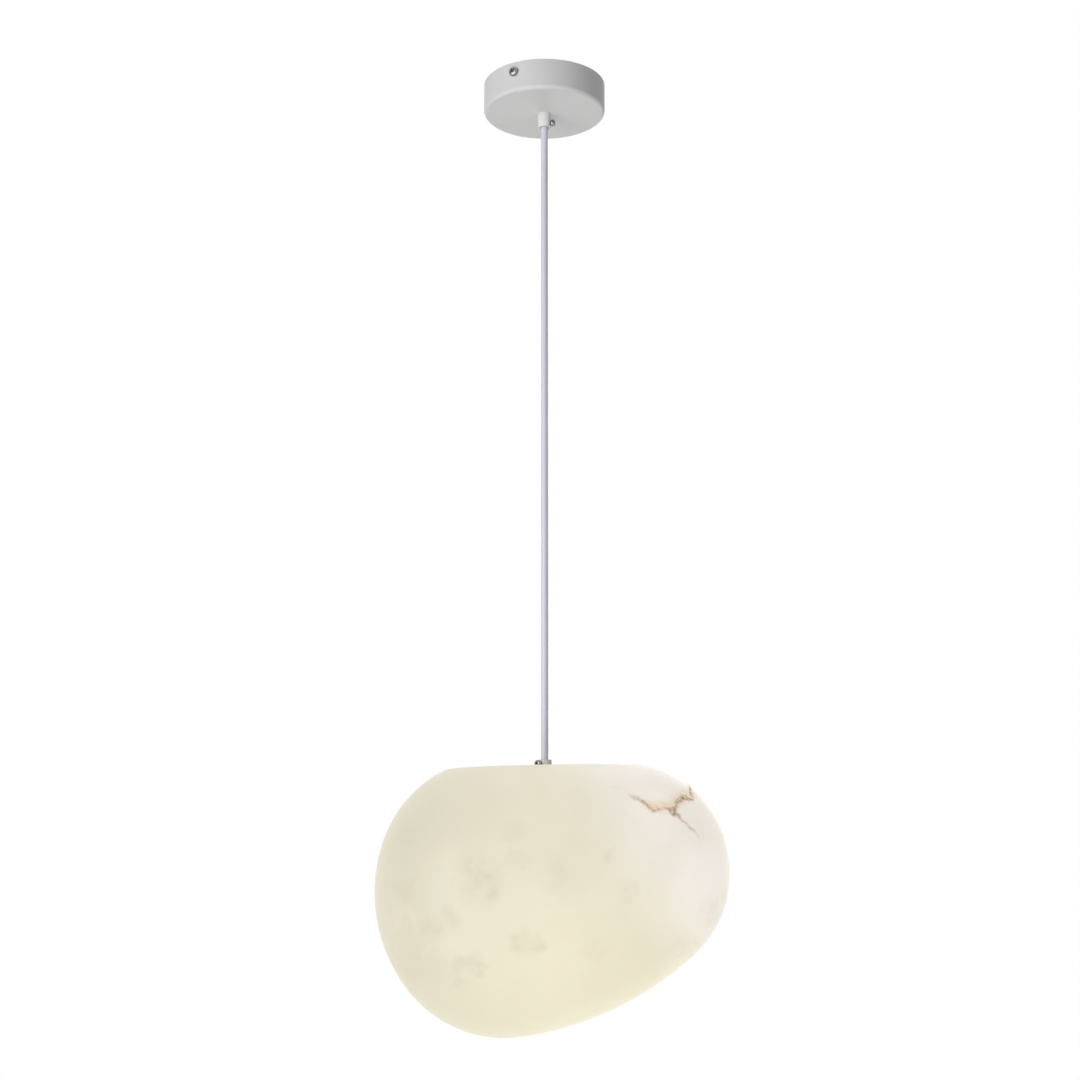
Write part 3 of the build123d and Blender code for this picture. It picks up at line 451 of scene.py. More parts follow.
def stone_clouds(tree, place, depth):
    """Shares of the clouds, of the pale lace of healed cracks on the big end, and of the grey patches."""
    sockets = {"Vector": place, "Scale": per_metre(44), "Detail": 5.0, "Distortion": 0.5}
    drift = node(tree, "TexNoise", sockets)["Fac"]
    sockets = {"Value": drift, "From Min": 0.38, "From Max": 0.7, "To Max": 0.28}
    clouds = node(tree, "MapRange", sockets)["Result"]

    sockets = {"Vector": warped_front(tree, place, size=22, throw=30), "Scale": per_metre(30)}
    edge = node(tree, "TexVoronoi", sockets, feature="DISTANCE_TO_EDGE")["Distance"]
    sockets = {"Value": edge, "From Max": 0.14, "To Min": 0.16, "To Max": 0.0}
    cracks = node(tree, "MapRange", sockets)["Result"]
    ragged = warped_front(tree, place, size=15, throw=22)
    sockets = {"Value": cracks, "Value_001": mark_cover(tree, ragged, HEALED_CRACKS, spread=1.4)}
    lace = node(tree, "Math", sockets, operation="MULTIPLY")["Value"]

    sockets = {"Value": depth, "From Min": -60 * MM, "From Max": 20 * MM, "To Min": 1.0, "To Max": 0.7}
    fading = node(tree, "MapRange", sockets, interpolation_type="SMOOTHSTEP")["Result"]
    crystals = node(tree, "TexNoise", {"Vector": place, "Scale": per_metre(8), "Detail": 4.0})["Fac"]
    sockets = {"Value": crystals, "From Min": 0.35, "From Max": 0.65, "To Min": 0.5, "To Max": 1.25}
    mottle = node(tree, "MapRange", sockets)["Result"]
    patches = mark_cover(tree, ragged, GREY_PATCHES, spread=1.5)
    for share in (fading, mottle):
        patches = node(tree, "Math", {"Value": patches, "Value_001": share}, operation="MULTIPLY")["Value"]
    return clouds, lace, patches


def stone_seams(tree, place, depth):
    """Shares of the golden stain, grey seam and rusty seam, all broken up, and of a crystal among them."""
    sockets = {"Value": depth, "From Min": -25 * MM, "From Max": 25 * MM, "To Min": 1.0, "To Max": 0.0}
    front = node(tree, "MapRange", sockets, interpolation_type="SMOOTHSTEP")["Result"]
    breaks = node(tree, "TexNoise", {"Vector": place, "Scale": per_metre(3), "Detail": 3.0})["Fac"]
    sockets = {"Value": breaks, "From Min": 0.32, "From Max": 0.62, "To Min": 0.4, "To Max": 1.0}
    strength = node(tree, "MapRange", sockets)["Result"]
    shown = node(tree, "Math", {"Value": strength, "Value_001": front}, operation="MULTIPLY")["Value"]
    jagged = warped_front(tree, place, size=5, throw=3)
    layers = []
    for branches, most in ((GOLD_SEAM, 0.68), (GREY_SEAM, 0.8), (RUSTY_SEAM, 0.95)):
        away = seam_distance(tree, jagged, branches)
        sockets = {"Value": away, "From Max": 2.2, "To Min": most, "To Max": 0.0}
        core = node(tree, "MapRange", sockets, interpolation_type="SMOOTHSTEP")["Result"]
        layers.append((core, shown))
    sharp = warped_front(tree, place, size=5, throw=0.5)
    layers.append((mark_cover(tree, sharp, CRYSTAL, spread=1.2), front))
    return [
        node(tree, "Math", {"Value": core, "Value_001": part}, operation="MULTIPLY")["Value"]
        for core, part in layers
    ]


def polished_alabaster(name):
    """Alabaster, hollowed and satin polished: milky stone lit from inside, clouded, with one rusty vein."""
    made, tree, place = new_material(name)
    stone = bpy.context.scene.pendant_stone
    depth = node(tree, "SeparateXYZ", {"Vector": place})["Y"]
    shares = (*stone_ends(tree, place), *stone_clouds(tree, place, depth), *stone_seams(tree, place, depth))
    layers = (
        stone.big_end, stone.pale_end, stone.cloud, stone.lace, stone.patch,
        stone.stain, stone.grey_seam, stone.rusty_seam, stone.pale_end,
    )

    # Each layer of colour lies over the one before with its own share
    colour = (*stone.body, 1.0)
    for share, over in zip(shares, layers):
        sockets = {"Factor_Float": share, "A_Color": colour, "B_Color": (*over, 1.0)}
        colour = node(tree, "Mix", sockets, data_type="RGBA")["Result_Color"]

    # The wall sends back some of the light outside, and glows with the bulb's, warmer where the bulb is near
    sockets = {"Vector": colour, "Scale": stone.reflected}
    skin_colour = node(tree, "VectorMath", sockets, operation="SCALE")["Vector"]
    sockets = {"Vector": place, "Vector_001": middle("bulb_globe")}
    away = node(tree, "VectorMath", sockets, operation="DISTANCE")["Value"]
    sockets = {"Value": away, "From Min": 75 * MM, "From Max": 145 * MM, "To Min": 1.0, "To Max": 0.0}
    near = node(tree, "MapRange", sockets, interpolation_type="SMOOTHSTEP")["Result"]
    sockets = {"Factor_Float": near, "A_Color": (*stone.far_glow, 1.0), "B_Color": (*stone.near_glow, 1.0)}
    glow = node(tree, "Mix", sockets, data_type="RGBA")["Result_Color"]
    sockets = {"Factor_Float": 1.0, "A_Color": colour, "B_Color": glow}
    shine = node(tree, "Mix", sockets, data_type="RGBA", blend_type="MULTIPLY")["Result_Color"]

    bump, grain = fine_grain(tree, place, size=1.1, strength=0.15, depth=0.04, detail=4.0)
    sockets = {
        "Base Color": skin_colour,
        "Roughness": node(tree, "MapRange", {"Value": grain, "To Min": 0.42, "To Max": 0.56})["Result"],
        "IOR": 1.52,
        "Normal": bump,
        "Subsurface Weight": 0.3,
        "Subsurface Radius": (1.0, 0.85, 0.6),
        "Subsurface Scale": 4 * MM,
        "Emission Color": shine,
        "Emission Strength": stone.glow,
    }
    return close_material(made, sockets)


# Mesh tools


def polar(radius, turn, height):
    """Point at a share of a turn about Z."""
    return Vector((radius * math.cos(math.tau * turn), radius * math.sin(math.tau * turn), height))


def ring(radius, height):
    """Ring of points about Z; with no radius it is one point."""
    if radius == 0:
        return [Vector((0, 0, height))]
    return [polar(radius, step / THREAD_STEPS, height) for step in range(THREAD_STEPS)]


def thread_rings(radius, pitch, high, low):
    """Rings of a right-hand thread from high down to low, running out at both ends."""
    depth = THREAD_DEPTH * pitch
    count = math.ceil((high - low) / pitch * THREAD_ROWS)
    rings = []
    for row in range(count + 1):
        height = high + (low - high) * row / count
        run_out = max(0.0, min(1.0, (high - height) / pitch, (height - low) / pitch))
        points = []
        for step in range(THREAD_STEPS):
            phase = (height / pitch - step / THREAD_STEPS) % 1
            crest = 1 - abs(2 * phase - 1)
            points.append(polar(radius - depth * (1 - crest * run_out), step / THREAD_STEPS, height))
        rings.append(points)
    return rings


def skin(rings, loop=False):
    """Faces over rings of points; loop joins the last ring to the first, as on a tube."""
    bm = bmesh.new()
    rows = [[bm.verts.new(point) for point in points] for points in rings]
    following = rows[1:] + rows[:1] if loop else rows[1:]
    for here, there in zip(rows, following):
        count = max(len(here), len(there))
        for at in range(count):
            ahead = (at + 1) % count
            corners = ((here, at), (here, ahead), (there, ahead), (there, at))
            bm.faces.new(list(dict.fromkeys(row[step % len(row)] for row, step in corners)))
    bmesh.ops.recalc_face_normals(bm, faces=bm.faces)
    return bm


def link(name, bm):
    """Object in the scene that takes over a bmesh."""
    mesh = bpy.data.meshes.new(name)
    bm.to_mesh(mesh)
    bm.free()
    made = bpy.data.objects.new(name, mesh)
    bpy.context.scene.collection.objects.link(made)
    return made


def carve(bm, *cutters):
    """Cuts closed shapes out of a closed shape."""
    blank = link("blank", bm)
    tools = [link("tool", cutter) for cutter in cutters]
    for tool in tools:
        cut = blank.modifiers.new("cut", "BOOLEAN")
        cut.object = tool
        cut.operation = "DIFFERENCE"
        cut.solver = "EXACT"
    depsgraph = bpy.context.evaluated_depsgraph_get()
    mesh = bpy.data.meshes.new_from_object(blank.evaluated_get(depsgraph))
    carved = bmesh.new()
    carved.from_mesh(mesh)
    bpy.data.meshes.remove(mesh)
    for spent in (blank, *tools):
        bpy.data.meshes.remove(spent.data)
    return carved


def piece(name, bm, material, body, slot, *nodes):
    """Adds a finished piece that rides on a body and stands for CAD nodes."""
    made = link(name, bm)
    made.data.materials.append(material)
    made.data.polygons.foreach_set("use_smooth", [True] * len(made.data.polygons))
    made.data.set_sharp_from_angle(angle=math.radians(SMOOTH_ANGLE))
    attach(made, body)
    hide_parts(*nodes)
    return made


def dress(material, *nodes):
    """Gives CAD nodes their finish."""
    for name in nodes:
        mesh = frame["nodes"][name].data
        mesh.materials.clear()
        mesh.materials.append(material)


def aim(point, direction, roll=0.0):
    """Placement with local Z along a direction."""
    turn = Vector(direction).to_track_quat("Z", "Y").to_matrix().to_4x4()
    return Matrix.Translation(point) @ turn @ Matrix.Rotation(math.radians(roll), 4, "Z")


def facing(turn):
    """Level direction at an angle from +X."""
    return Vector((math.cos(math.radians(turn)), math.sin(math.radians(turn)), 0))


def reach(name, direction):
    """Nearest and furthest that a CAD node goes along a direction."""
    along = [vertex.co @ Vector(direction) for vertex in frame["nodes"][name].data.vertices]
    return min(along), max(along)


def middle(name):
    """Middle of a CAD node's box."""
    low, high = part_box(name)
    return (low + high) / 2


# Hardware


def wedge(span, width, top, floor):
    """Tapered blade of a cross recess, wider at the top."""
    bm = bmesh.new()
    rows = []
    for height, long, wide in ((top, 1.0, 1.0), (floor, 0.5, 0.75)):
        x = span / 2 * long
        y = width / 2 * wide
        corners = ((-x, -y), (x, -y), (x, y), (-x, y))
        rows.append([bm.verts.new((*corner, height)) for corner in corners])
    bm.faces.new(rows[0])
    bm.faces.new(rows[1])
    for at in range(4):
        ahead = (at + 1) % 4
        bm.faces.new([rows[0][at], rows[0][ahead], rows[1][ahead], rows[1][at]])
    bmesh.ops.recalc_face_normals(bm, faces=bm.faces)
    return bm


def pan_screw(shank_d, head_d, head_h, length, pitch):
    """Pan-head screw with a cross recess and a rolled thread: head seat on z = 0, shank below."""
    rings = []
    for row in range(HEAD_ROWS):
        lean = math.pi / 2 * row / HEAD_ROWS
        radius = head_d / 2 * math.sin(lean) ** HEAD_CURVE
        rings.append(ring(radius, head_h * math.cos(lean) ** HEAD_CURVE))
    rings.append(ring(head_d / 2, HEAD_EDGE * head_h))
    rings.append(ring(HEAD_FOOT * head_d / 2, 0))
    rings += thread_rings(shank_d / 2, pitch, -SHANK_GAP * head_h, -length)
    rings.append(ring(0, -length))
    blades = []
    for turn in (0, math.pi / 2):
        top = RECESS_TOP * head_h
        blade = wedge(RECESS_SPAN * head_d, RECESS_WIDTH * head_d, top, RECESS_FLOOR * head_h)
        blade.transform(Matrix.Rotation(turn, 4, "Z"))
        blades.append(blade)
    return carve(skin(rings), *blades)


def place_screw(name, stands_for, body, axis_point, direction, roll, length, head_d, thread):
    """Nickel screw on a line through a point, with its head's top where the CAD screw's is."""
    direction = Vector(direction)
    _, top = reach(stands_for, direction)
    line = axis_point - direction * (axis_point @ direction)
    seat = line + direction * (top - thread["head_h"])
    screw = pan_screw(head_d=head_d * MM, length=length * MM, **thread)
    screw.transform(aim(seat, direction, roll))
    return piece(name, screw, finish(nickel_plated_steel), body, "nickel_plated_screws", stands_for)


def threaded_tube(bore, outer, pitch, low, high):
    """Tube with a thread outside and a plain bore."""
    rings = thread_rings(outer / 2, pitch, high, low)
    rings.append(ring(bore / 2, low))
    rings.append(ring(bore / 2, high))
    return skin(rings, loop=True)


def round_bar(diameter, low, high):
    """Plain bar about Z, used as a drill."""
    return skin([ring(0, low), ring(diameter / 2, low), ring(diameter / 2, high), ring(0, high)])


def cord_grip():
    """Moulded grip with its mouth up, standing on z = 0, on a threaded stem; the screw's hole faces +X."""
    rings = [ring(GRIP_BORE_R * MM, -GRIP_STEM * MM)]
    rings += reversed(thread_rings(M10_OUTER / 2 * MM, M10_PITCH * MM, 0, -GRIP_STEM * MM))
    rings += [ring(radius * MM, height * MM) for radius, height in GRIP_PROFILE]
    drill = round_bar(GRIP_HOLE_D * MM, 0, GRIP_HOLE_DEPTH * MM)
    drill.transform(aim(Vector((0, 0, GRIP_HOLE_RISE * MM)), (1, 0, 0)))
    return carve(skin(rings, loop=True), drill)


def sheet_ring(radius, height):
    """Ring of points about Z, as fine as the rolled thread's."""
    return [polar(radius, step / (2 * THREAD_STEPS), height) for step in range(2 * THREAD_STEPS)]


def rolled_thread(radius, high, low, end_cut):
    """Rings of an E27 thread rolled in sheet, high to low, plain and cut in by end_cut at both ends."""
    pitch = E27_PITCH * MM
    run_in = E27_RUN_IN * MM
    rows = math.ceil((high - low) / pitch * 2 * THREAD_ROWS)
    rings = []
    for row in range(rows + 1):
        height = high + (low - high) * row / rows
        full = max(0.0, min(1.0, (high - height) / run_in, (height - low) / run_in))
        points = []
        for step in range(2 * THREAD_STEPS):
            turn = step / (2 * THREAD_STEPS)
            trough = (1 - math.cos(math.tau * (height / pitch - turn))) / 2
            cut = end_cut + (E27_DEPTH * MM * trough - end_cut) * full
            points.append(polar(radius - cut, turn, height))
        rings.append(points)
    return rings


# Settings


def colour_setting(name, description, shade):
    """Colour that a user can change, with an sRGB hex colour as its default."""
    return bpy.props.FloatVectorProperty(
        name=name, description=description, subtype="COLOR", default=linear(shade)[:3]
    )


def number_setting(name, description, default, **kind):
    """Number that a user can change, with its unit, subtype or limit."""
    return bpy.props.FloatProperty(name=name, description=description, default=default, **kind)


def place_setting(name, description, default):
    """Place that a user can change, in metres."""
    return bpy.props.FloatVectorProperty(
        name=name, description=description, subtype="TRANSLATION", default=default
    )


class StoneSettings(bpy.types.PropertyGroup):
    """Colours and glow of the alabaster."""

    body: colour_setting("Body", "Cream of the clear stone", "#EEE9D4")
    big_end: colour_setting("Big end", "Duller cream of the big end", "#D7D3BF")
    # Pale end: the small end's own paler tone, and also a painted highlight on its upper side
    pale_end: colour_setting("Pale end", "Pinkish white of the small end", "#FFFAF3")
    cloud: colour_setting("Cloud", "Soft clouds in the stone", "#E4DDC5")
    lace: colour_setting("Lace", "Paler healed cracks", "#FFF9E8")
    # Through its wide patch low on the big end, the patch colour also lays painted shade on that lower edge
    patch: colour_setting("Patch", "Grey of the small patches", "#D0C8B2")
    stain: colour_setting("Stain", "Golden stain beside the rusty seam", "#E9C792")
    rusty_seam: colour_setting("Rusty seam", "Core of the rusty seam", "#865E34")
    grey_seam: colour_setting("Grey seam", "Core of the grey seams", "#958C78")
    near_glow: colour_setting("Near glow", "Light through the wall by the bulb", "#F8F5EA")
    far_glow: colour_setting("Far glow", "Light through the wall far from the bulb", "#F7F5F3")
    glow: number_setting("Glow", "Strength of the light through the wall", 0.7, min=0)
    reflected: number_setting("Reflected", "Share of outside light sent back", 0.4, subtype="FACTOR")


class CordSettings(bpy.types.PropertyGroup):
    """The suspension cord."""

    diameter: number_setting("Diameter", "Outer diameter of the sheath", 5.6 * MM, unit="LENGTH")
    length: number_setting("Length", "From grip mouth to grip mouth", 520 * MM, unit="LENGTH")
    sheath: colour_setting("Sheath", "Colour of the sheath", "#E5E2F0")


class MetalSettings(bpy.types.PropertyGroup):
    """The painted metal."""

    coat: colour_setting("Coat", "Powder coat of the canopy and the cover plate", "#E6E6E6")


class StageSettings(bpy.types.PropertyGroup):
    """Camera, floor and light."""

    lens: number_setting("Lens", "Focal length on a 36 mm sensor", 56.564, unit="CAMERA")
    camera_place: place_setting(
        "Camera place", "Where the camera stands", (-3.65 * MM, -1317.42 * MM, -635.76 * MM)
    )
    camera_pitch: number_setting("Camera pitch", "Upward tilt", math.radians(10.803), subtype="ANGLE")
    floor_level: number_setting("Floor level", "Height of the floor", -1.35, unit="LENGTH")
    floor_radius: number_setting("Floor radius", "Where the floor has faded out", 2.2, unit="LENGTH")
    floor_lift: number_setting("Floor lift", "Lift of the floor towards the background", 0.5, min=0)
    room_light: number_setting("Room light", "Even light from all round", 0.13, min=0)
    key_power: number_setting("Key power", "Soft key light", 28, unit="POWER")
    fill_power: number_setting("Fill power", "Fill from below", 17, unit="POWER")
    top_power: number_setting("Top power", "Soft light from above", 10, unit="POWER")
    back_power: number_setting("Back power", "Soft light from behind", 15, unit="POWER")
    light_target: place_setting("Light target", "Where the lights point", (0.0, 0.0, -400 * MM))


class PENDANT_OT_cord(bpy.types.Operator):
    """Lays the cord from grip to grip, with the bending stretch in the upper grip's mouth"""

    bl_idname = "pendant.cord"
    bl_label = "Cord"

    def execute(self, context):
        cord = context.scene.pendant_cord
        material = finish(extruded_pvc_sheath)
        mouth = Vector((0, 0, frame["joints"][0]["pos_m"][2]))
        low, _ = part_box("suspension_cord")
        heights = (mouth.z, *(height * MM for height in CORD_HEIGHTS), low.z)
        curve = bpy.data.curves.new("cord_line", "CURVE")
        curve.dimensions = "3D"
        curve.bevel_depth = cord.diameter / 2
        curve.bevel_resolution = 10
        curve.use_fill_caps = True
        spline = curve.splines.new("NURBS")
        spline.points.add(len(heights) - 1)
        for point, height in zip(spline.points, heights):
            point.co = (0, 0, height, 1)
        spline.order_u = 3
        spline.use_endpoint_u = True
        curve.materials.append(material)
        line = bpy.data.objects.new("cord_line", curve)
        context.scene.collection.objects.link(line)
        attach(line, "cord")
        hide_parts("suspension_cord")

        # The bend is a ball, and every fourth of its rings is drawn in as a crease
        bend = []
        for row in range(BEND_ROWS + 1):
            lean = math.pi * row / BEND_ROWS
            crease = 1 - BEND_CREASE * (row % 4 == 2)
            radius = 0 if row in (0, BEND_ROWS) else crease * cord.diameter / 2 * math.sin(lean)
            bend.append(ring(radius, mouth.z + cord.diameter / 2 * math.cos(lean)))
        bent = piece("cord_bend", skin(bend), material, "cord_neck", "white_cord", "cord_neck")
        dress(material, "cord_tail_upper", "cord_tail_lower")
        return {"FINISHED"}


class PENDANT_OT_canopy(bpy.types.Operator):
    """Finishes the canopy cup, the ceiling bracket and the screws between them"""

    bl_idname = "pendant.canopy"
    bl_label = "Canopy"

    def execute(self, context):
        dress(finish(powder_coated_steel_white), "canopy_cup")
        dress(finish(zinc_plated_steel_bright), "ceiling_bracket")
        pair = "canopy_side_screws"
        height = Vector((0, 0, middle(pair).z))
        size = {"length": 8.0, "head_d": 8.0, "thread": M4}
        screws = (("side_screw_back", BRACKET_TURN, 12), ("side_screw_front", BRACKET_TURN + 180, 31))
        for name, turn, roll in screws:
            place_screw(name, pair, "ceiling_rose", height, facing(turn), roll, **size)
        return {"FINISHED"}


class PENDANT_OT_grips(bpy.types.Operator):
    """Makes the two cord grips with their clamp screws, washers and nuts"""

    bl_idname = "pendant.grips"
    bl_label = "Cord grips"

    def execute(self, context):
        canopy_low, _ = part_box("canopy_cup")
        _, cover_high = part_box("cover_plate")
        hanging = Matrix.Translation((0, 0, canopy_low.z)) @ Matrix.Rotation(math.pi, 4, "X")
        standing = Matrix.Translation((0, 0, cover_high.z))
        ends = (
            ("upper", "ceiling_rose", hanging, UPPER_SCREW_TURN, -UPPER_SCREW_TURN),
            ("lower", "shade", standing, LOWER_SCREW_TURN, LOWER_SCREW_TURN),
        )
        size = {"length": 3.8, "head_d": 6.0, "thread": M3}
        for end, body, stand, turn, grip_turn in ends:
            grip = cord_grip()
            grip.transform(stand @ Matrix.Rotation(math.radians(grip_turn), 4, "Z"))
            piece(f"{end}_grip", grip, finish(moulded_nylon_white), body, "white_nylon", f"{end}_cord_grip")
            screw = f"{end}_grip_screw"
            height = Vector((0, 0, middle(screw).z))
            place_screw(f"{end}_clamp_screw", screw, body, height, facing(turn), roll=20, **size)
            dress(finish(zinc_plated_steel_bright), f"{end}_grip_washer", f"{end}_grip_nut")
        return {"FINISHED"}


class PENDANT_OT_wiring(bpy.types.Operator):
    """Finishes the terminal block, the wires and the earth connections"""

    bl_idname = "pendant.wiring"
    bl_label = "Wiring"

    def execute(self, context):
        dress(finish(moulded_polyamide_cream), "terminal_block")
        dress(finish(turned_brass), "terminal_sleeves", "bracket_earth_lug", "crossbar_earth_lug")
        dress(finish(zinc_plated_steel_bright), "terminal_clamp_screws")
        dress(finish(brown_pvc), "live_wire_upper", "live_wire_lower")
        dress(finish(blue_pvc), "neutral_wire_upper", "neutral_wire_lower")
        dress(striped_pvc("Striped pvc upper", facing(BRACKET_TURN + 90)), "earth_wire_upper")
        dress(striped_pvc("Striped pvc lower", facing(90)), "earth_wire_lower")

        # Name, node, body, direction of the head, roll, length, head diameter and thread
        screws = (
            ("terminal_block_screw", "terminal_fixing_screw", "ceiling_rose", (0, 0, -1), 40, 10.9, 5.0, M3),
            ("bracket_earth_bolt", "bracket_earth_screw", "ceiling_rose", (0, 0, -1), 65, 2.1, 7.0, M4),
            ("crossbar_earth_bolt", "crossbar_earth_screw", "shade", (0, 0, 1), 15, 5.0, 7.0, M4),
        )
        for name, stands_for, body, *fit in screws:
            place_screw(name, stands_for, body, middle(stands_for), *fit)
        return {"FINISHED"}


class PENDANT_OT_stone(bpy.types.Operator):
    """Finishes the alabaster shade"""

    bl_idname = "pendant.stone"
    bl_label = "Stone shade"

    def execute(self, context):
        dress(finish(polished_alabaster), "stone_shade")
        return {"FINISHED"}


class PENDANT_OT_cover(bpy.types.Operator):
    """Finishes the cover plate, its gasket and the bar that clamps it"""

    bl_idname = "pendant.cover"
    bl_label = "Cover plate and crossbar"

    def execute(self, context):
        dress(finish(powder_coated_steel_white), "cover_plate")
        dress(finish(moulded_rubber_black), "cover_gasket", "crossbar_pads")
        zinc = finish(zinc_plated_steel_bright)
        dress(zinc, "crossbar", "holder_nut")
        low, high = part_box("holder_nipple")
        nipple = threaded_tube(NIPPLE_BORE * MM, M10_OUTER * MM, M10_PITCH * MM, low.z, high.z)
        piece("holder_thread_tube", nipple, zinc, "shade", "zinc_plated_steel", "holder_nipple")
        low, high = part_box("clamp_screws")
        size = {"length": 21.5, "head_d": 8.0, "thread": M4}
        inset = size["head_d"] / 2 * MM
        screws = (("clamp_screw_left", low.x + inset, 25), ("clamp_screw_right", high.x - inset, 70))
        for name, x, roll in screws:
            place_screw(name, "clamp_screws", "shade", Vector((x, 0, 0)), (0, 0, 1), roll, **size)
        return {"FINISHED"}


class PENDANT_OT_lampholder(bpy.types.Operator):
    """Finishes the lampholder"""

    bl_idname = "pendant.lampholder"
    bl_label = "Lampholder"

    def execute(self, context):
        dress(finish(moulded_thermoplastic_white), "lampholder_cap", "lampholder_shell")
        dress(finish(fired_porcelain), "lampholder_insert")
        brass = finish(turned_brass)
        dress(brass, "lampholder_contact")
        low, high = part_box("lampholder_socket")
        outside = rolled_thread(high.x, high.z, low.z, 0)
        inside = rolled_thread(high.x - SOCKET_SHEET * MM, high.z, low.z, 0)
        sleeve = skin(outside + inside[::-1], loop=True)
        piece("socket_sleeve", sleeve, brass, "shade", "brass", "lampholder_socket")
        pair = "lampholder_terminal_screws"
        low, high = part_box(pair)
        size = {"length": 5.0, "head_d": 5.0, "thread": M3}
        inset = size["head_d"] / 2 * MM
        screws = (("holder_screw_back", high.y - inset, 10), ("holder_screw_front", low.y + inset, 55))
        for name, y, roll in screws:
            place_screw(name, pair, "shade", Vector((middle(pair).x, y, 0)), (0, 0, 1), roll, **size)
        return {"FINISHED"}


class PENDANT_OT_bulb(bpy.types.Operator):
    """Finishes the lit bulb"""

    bl_idname = "pendant.bulb"
    bl_label = "Bulb"

    def execute(self, context):
        dress(finish(turned_brass), "bulb_contact")
        dress(finish(pressed_black_glass), "bulb_insulator")
        aluminium = finish(drawn_aluminium)
        dress(aluminium, "led_board")
        low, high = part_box("bulb_screw_cap")
        bore = high.x - CAP_WALL * MM
        roof = high.z - CAP_WALL * MM
        shoulder = [ring(0, high.z), *(sheet_ring(share * high.x, high.z) for share in CAP_SHOULDER)]
        outside = rolled_thread(high.x, high.z - CAP_EDGE * MM, low.z, E27_DEPTH * MM)
        inside = [sheet_ring(bore, low.z), sheet_ring(bore, roof), ring(0, roof)]
        cap = skin(shoulder + outside + inside)
        piece("screw_cap", cap, aluminium, "shade", "plain_aluminium", "bulb_screw_cap")
        dress(finish(moulded_thermoplastic_white), "bulb_body")
        dress(finish(opal_polycarbonate), "bulb_globe")
        dress(finish(phosphor_gel), "led_chips")
        return {"FINISHED"}


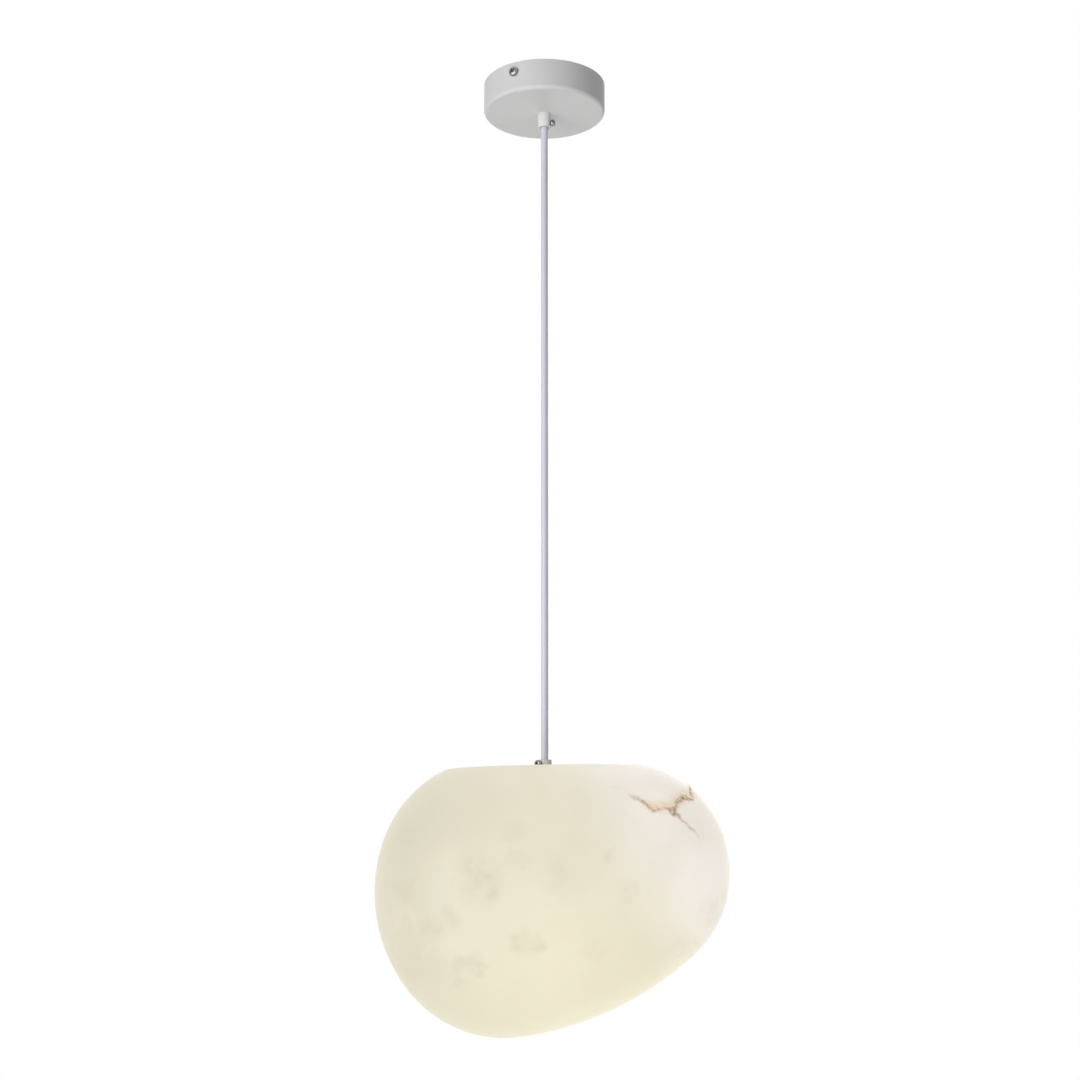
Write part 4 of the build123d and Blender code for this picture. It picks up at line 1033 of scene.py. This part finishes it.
class PENDANT_OT_stage(bpy.types.Operator):
    """Sets the camera, the pale floor and the soft light"""

    bl_idname = "pendant.stage"
    bl_label = "Stage"

    def execute(self, context):
        scene = context.scene
        stage = scene.pendant_stage
        scene.view_settings.view_transform = "Standard"

        lens = bpy.data.cameras.new("camera")
        lens.lens = stage.lens
        lens.sensor_width = SENSOR
        camera = bpy.data.objects.new("camera", lens)
        camera.location = stage.camera_place
        camera.rotation_euler = (math.pi / 2 + stage.camera_pitch, 0, 0)
        scene.collection.objects.link(camera)
        scene.camera = camera

        widths = [stage.floor_radius * row / FLOOR_ROWS for row in range(FLOOR_ROWS + 1)]
        disc = [ring(width, stage.floor_level) for width in widths]
        floor = link("floor", skin(disc))
        floor.data.materials.append(self.floor_paint(stage))

        world = bpy.data.worlds.new("studio")
        scene.world = world
        world.use_nodes = True
        tree = world.node_tree
        tree.nodes.clear()
        seen = seen_directly(tree)
        level = node(tree, "MapRange", {"Value": seen, "To Min": stage.room_light, "To Max": 1.0})["Result"]
        sky = node(tree, "Background", {"Color": (1.0, 1.0, 1.0, 1.0), "Strength": level})["Background"]
        node(tree, "OutputWorld", {"Surface": sky})

        # Name, place, power and width of each light, in metres
        self.lamp("key", (-1.55, -1.75, -0.25), stage.key_power, 1.4)
        self.lamp("fill", (0.0, -0.3, stage.floor_level + 0.05), stage.fill_power, 3.0)
        self.lamp("top", (0.0, 0.4, 1.6), stage.top_power, 3.0)
        self.lamp("back", (0.3, 2.3, -0.1), stage.back_power, 1.4)
        return {"FINISHED"}

    def floor_paint(self, stage):
        """Pale matte floor that fades out towards its edge."""
        made, tree, place = new_material("Pale floor")
        sockets = {"Vector": place, "Vector_001": (0, 0, stage.floor_level)}
        away = node(tree, "VectorMath", sockets, operation="DISTANCE")["Value"]
        edge = stage.floor_radius
        sockets = {"Value": away, "From Min": edge / 2, "From Max": edge, "To Min": 1.0, "To Max": 0.0}
        cover = node(tree, "MapRange", sockets, interpolation_type="SMOOTHSTEP")["Result"]
        lift = node(tree, "MapRange", {"Value": seen_directly(tree), "To Max": stage.floor_lift})["Result"]
        sockets = {
            "Base Color": linear("#F7F7F6"),
            "Roughness": 0.8,
            "Alpha": cover,
            "Emission Color": linear("#FFFFFF"),
            "Emission Strength": lift,
        }
        return close_material(made, sockets)

    def lamp(self, name, place, power, size):
        """Square soft light that points at the stage's target."""
        target = bpy.context.scene.pendant_stage.light_target
        light = bpy.data.lights.new(name, "AREA")
        light.energy = power
        light.size = size
        made = bpy.data.objects.new(name, light)
        made.matrix_world = aim(place, Vector(place) - target)
        made.visible_camera = False
        bpy.context.scene.collection.objects.link(made)


class PENDANT_PT_lamp(bpy.types.Panel):
    """Lists the lamp's settings and steps in the 3D view's sidebar"""

    bl_label = "Pendant lamp"
    bl_space_type = "VIEW_3D"
    bl_region_type = "UI"
    bl_category = "Pendant"

    def draw(self, context):
        layout = self.layout
        for settings in SETTINGS:
            group = getattr(context.scene, settings)
            box = layout.box()
            for name in group.__annotations__:
                box.prop(group, name)
        for operator in OPERATORS:
            layout.operator(operator.bl_idname)


SETTINGS = {
    "pendant_stone": StoneSettings,
    "pendant_cord": CordSettings,
    "pendant_metal": MetalSettings,
    "pendant_stage": StageSettings,
}
OPERATORS = (
    PENDANT_OT_stage,
    PENDANT_OT_cord,
    PENDANT_OT_canopy,
    PENDANT_OT_grips,
    PENDANT_OT_wiring,
    PENDANT_OT_stone,
    PENDANT_OT_cover,
    PENDANT_OT_lampholder,
    PENDANT_OT_bulb,
)


def register():
    """Adds the settings, operators and panel."""
    for name, group in SETTINGS.items():
        bpy.utils.register_class(group)
        setattr(bpy.types.Scene, name, bpy.props.PointerProperty(type=group))
    for made in (*OPERATORS, PENDANT_PT_lamp):
        bpy.utils.register_class(made)


def unregister():
    """Takes them away again."""
    for made in (PENDANT_PT_lamp, *reversed(OPERATORS)):
        bpy.utils.unregister_class(made)
    for name, group in SETTINGS.items():
        delattr(bpy.types.Scene, name)
        bpy.utils.unregister_class(group)


def main():
    """Builds the lamp."""
    register()
    for operator in OPERATORS:
        group, name = operator.bl_idname.split(".")
        getattr(getattr(bpy.ops, group), name)()


if __name__ == "__main__":
    main()
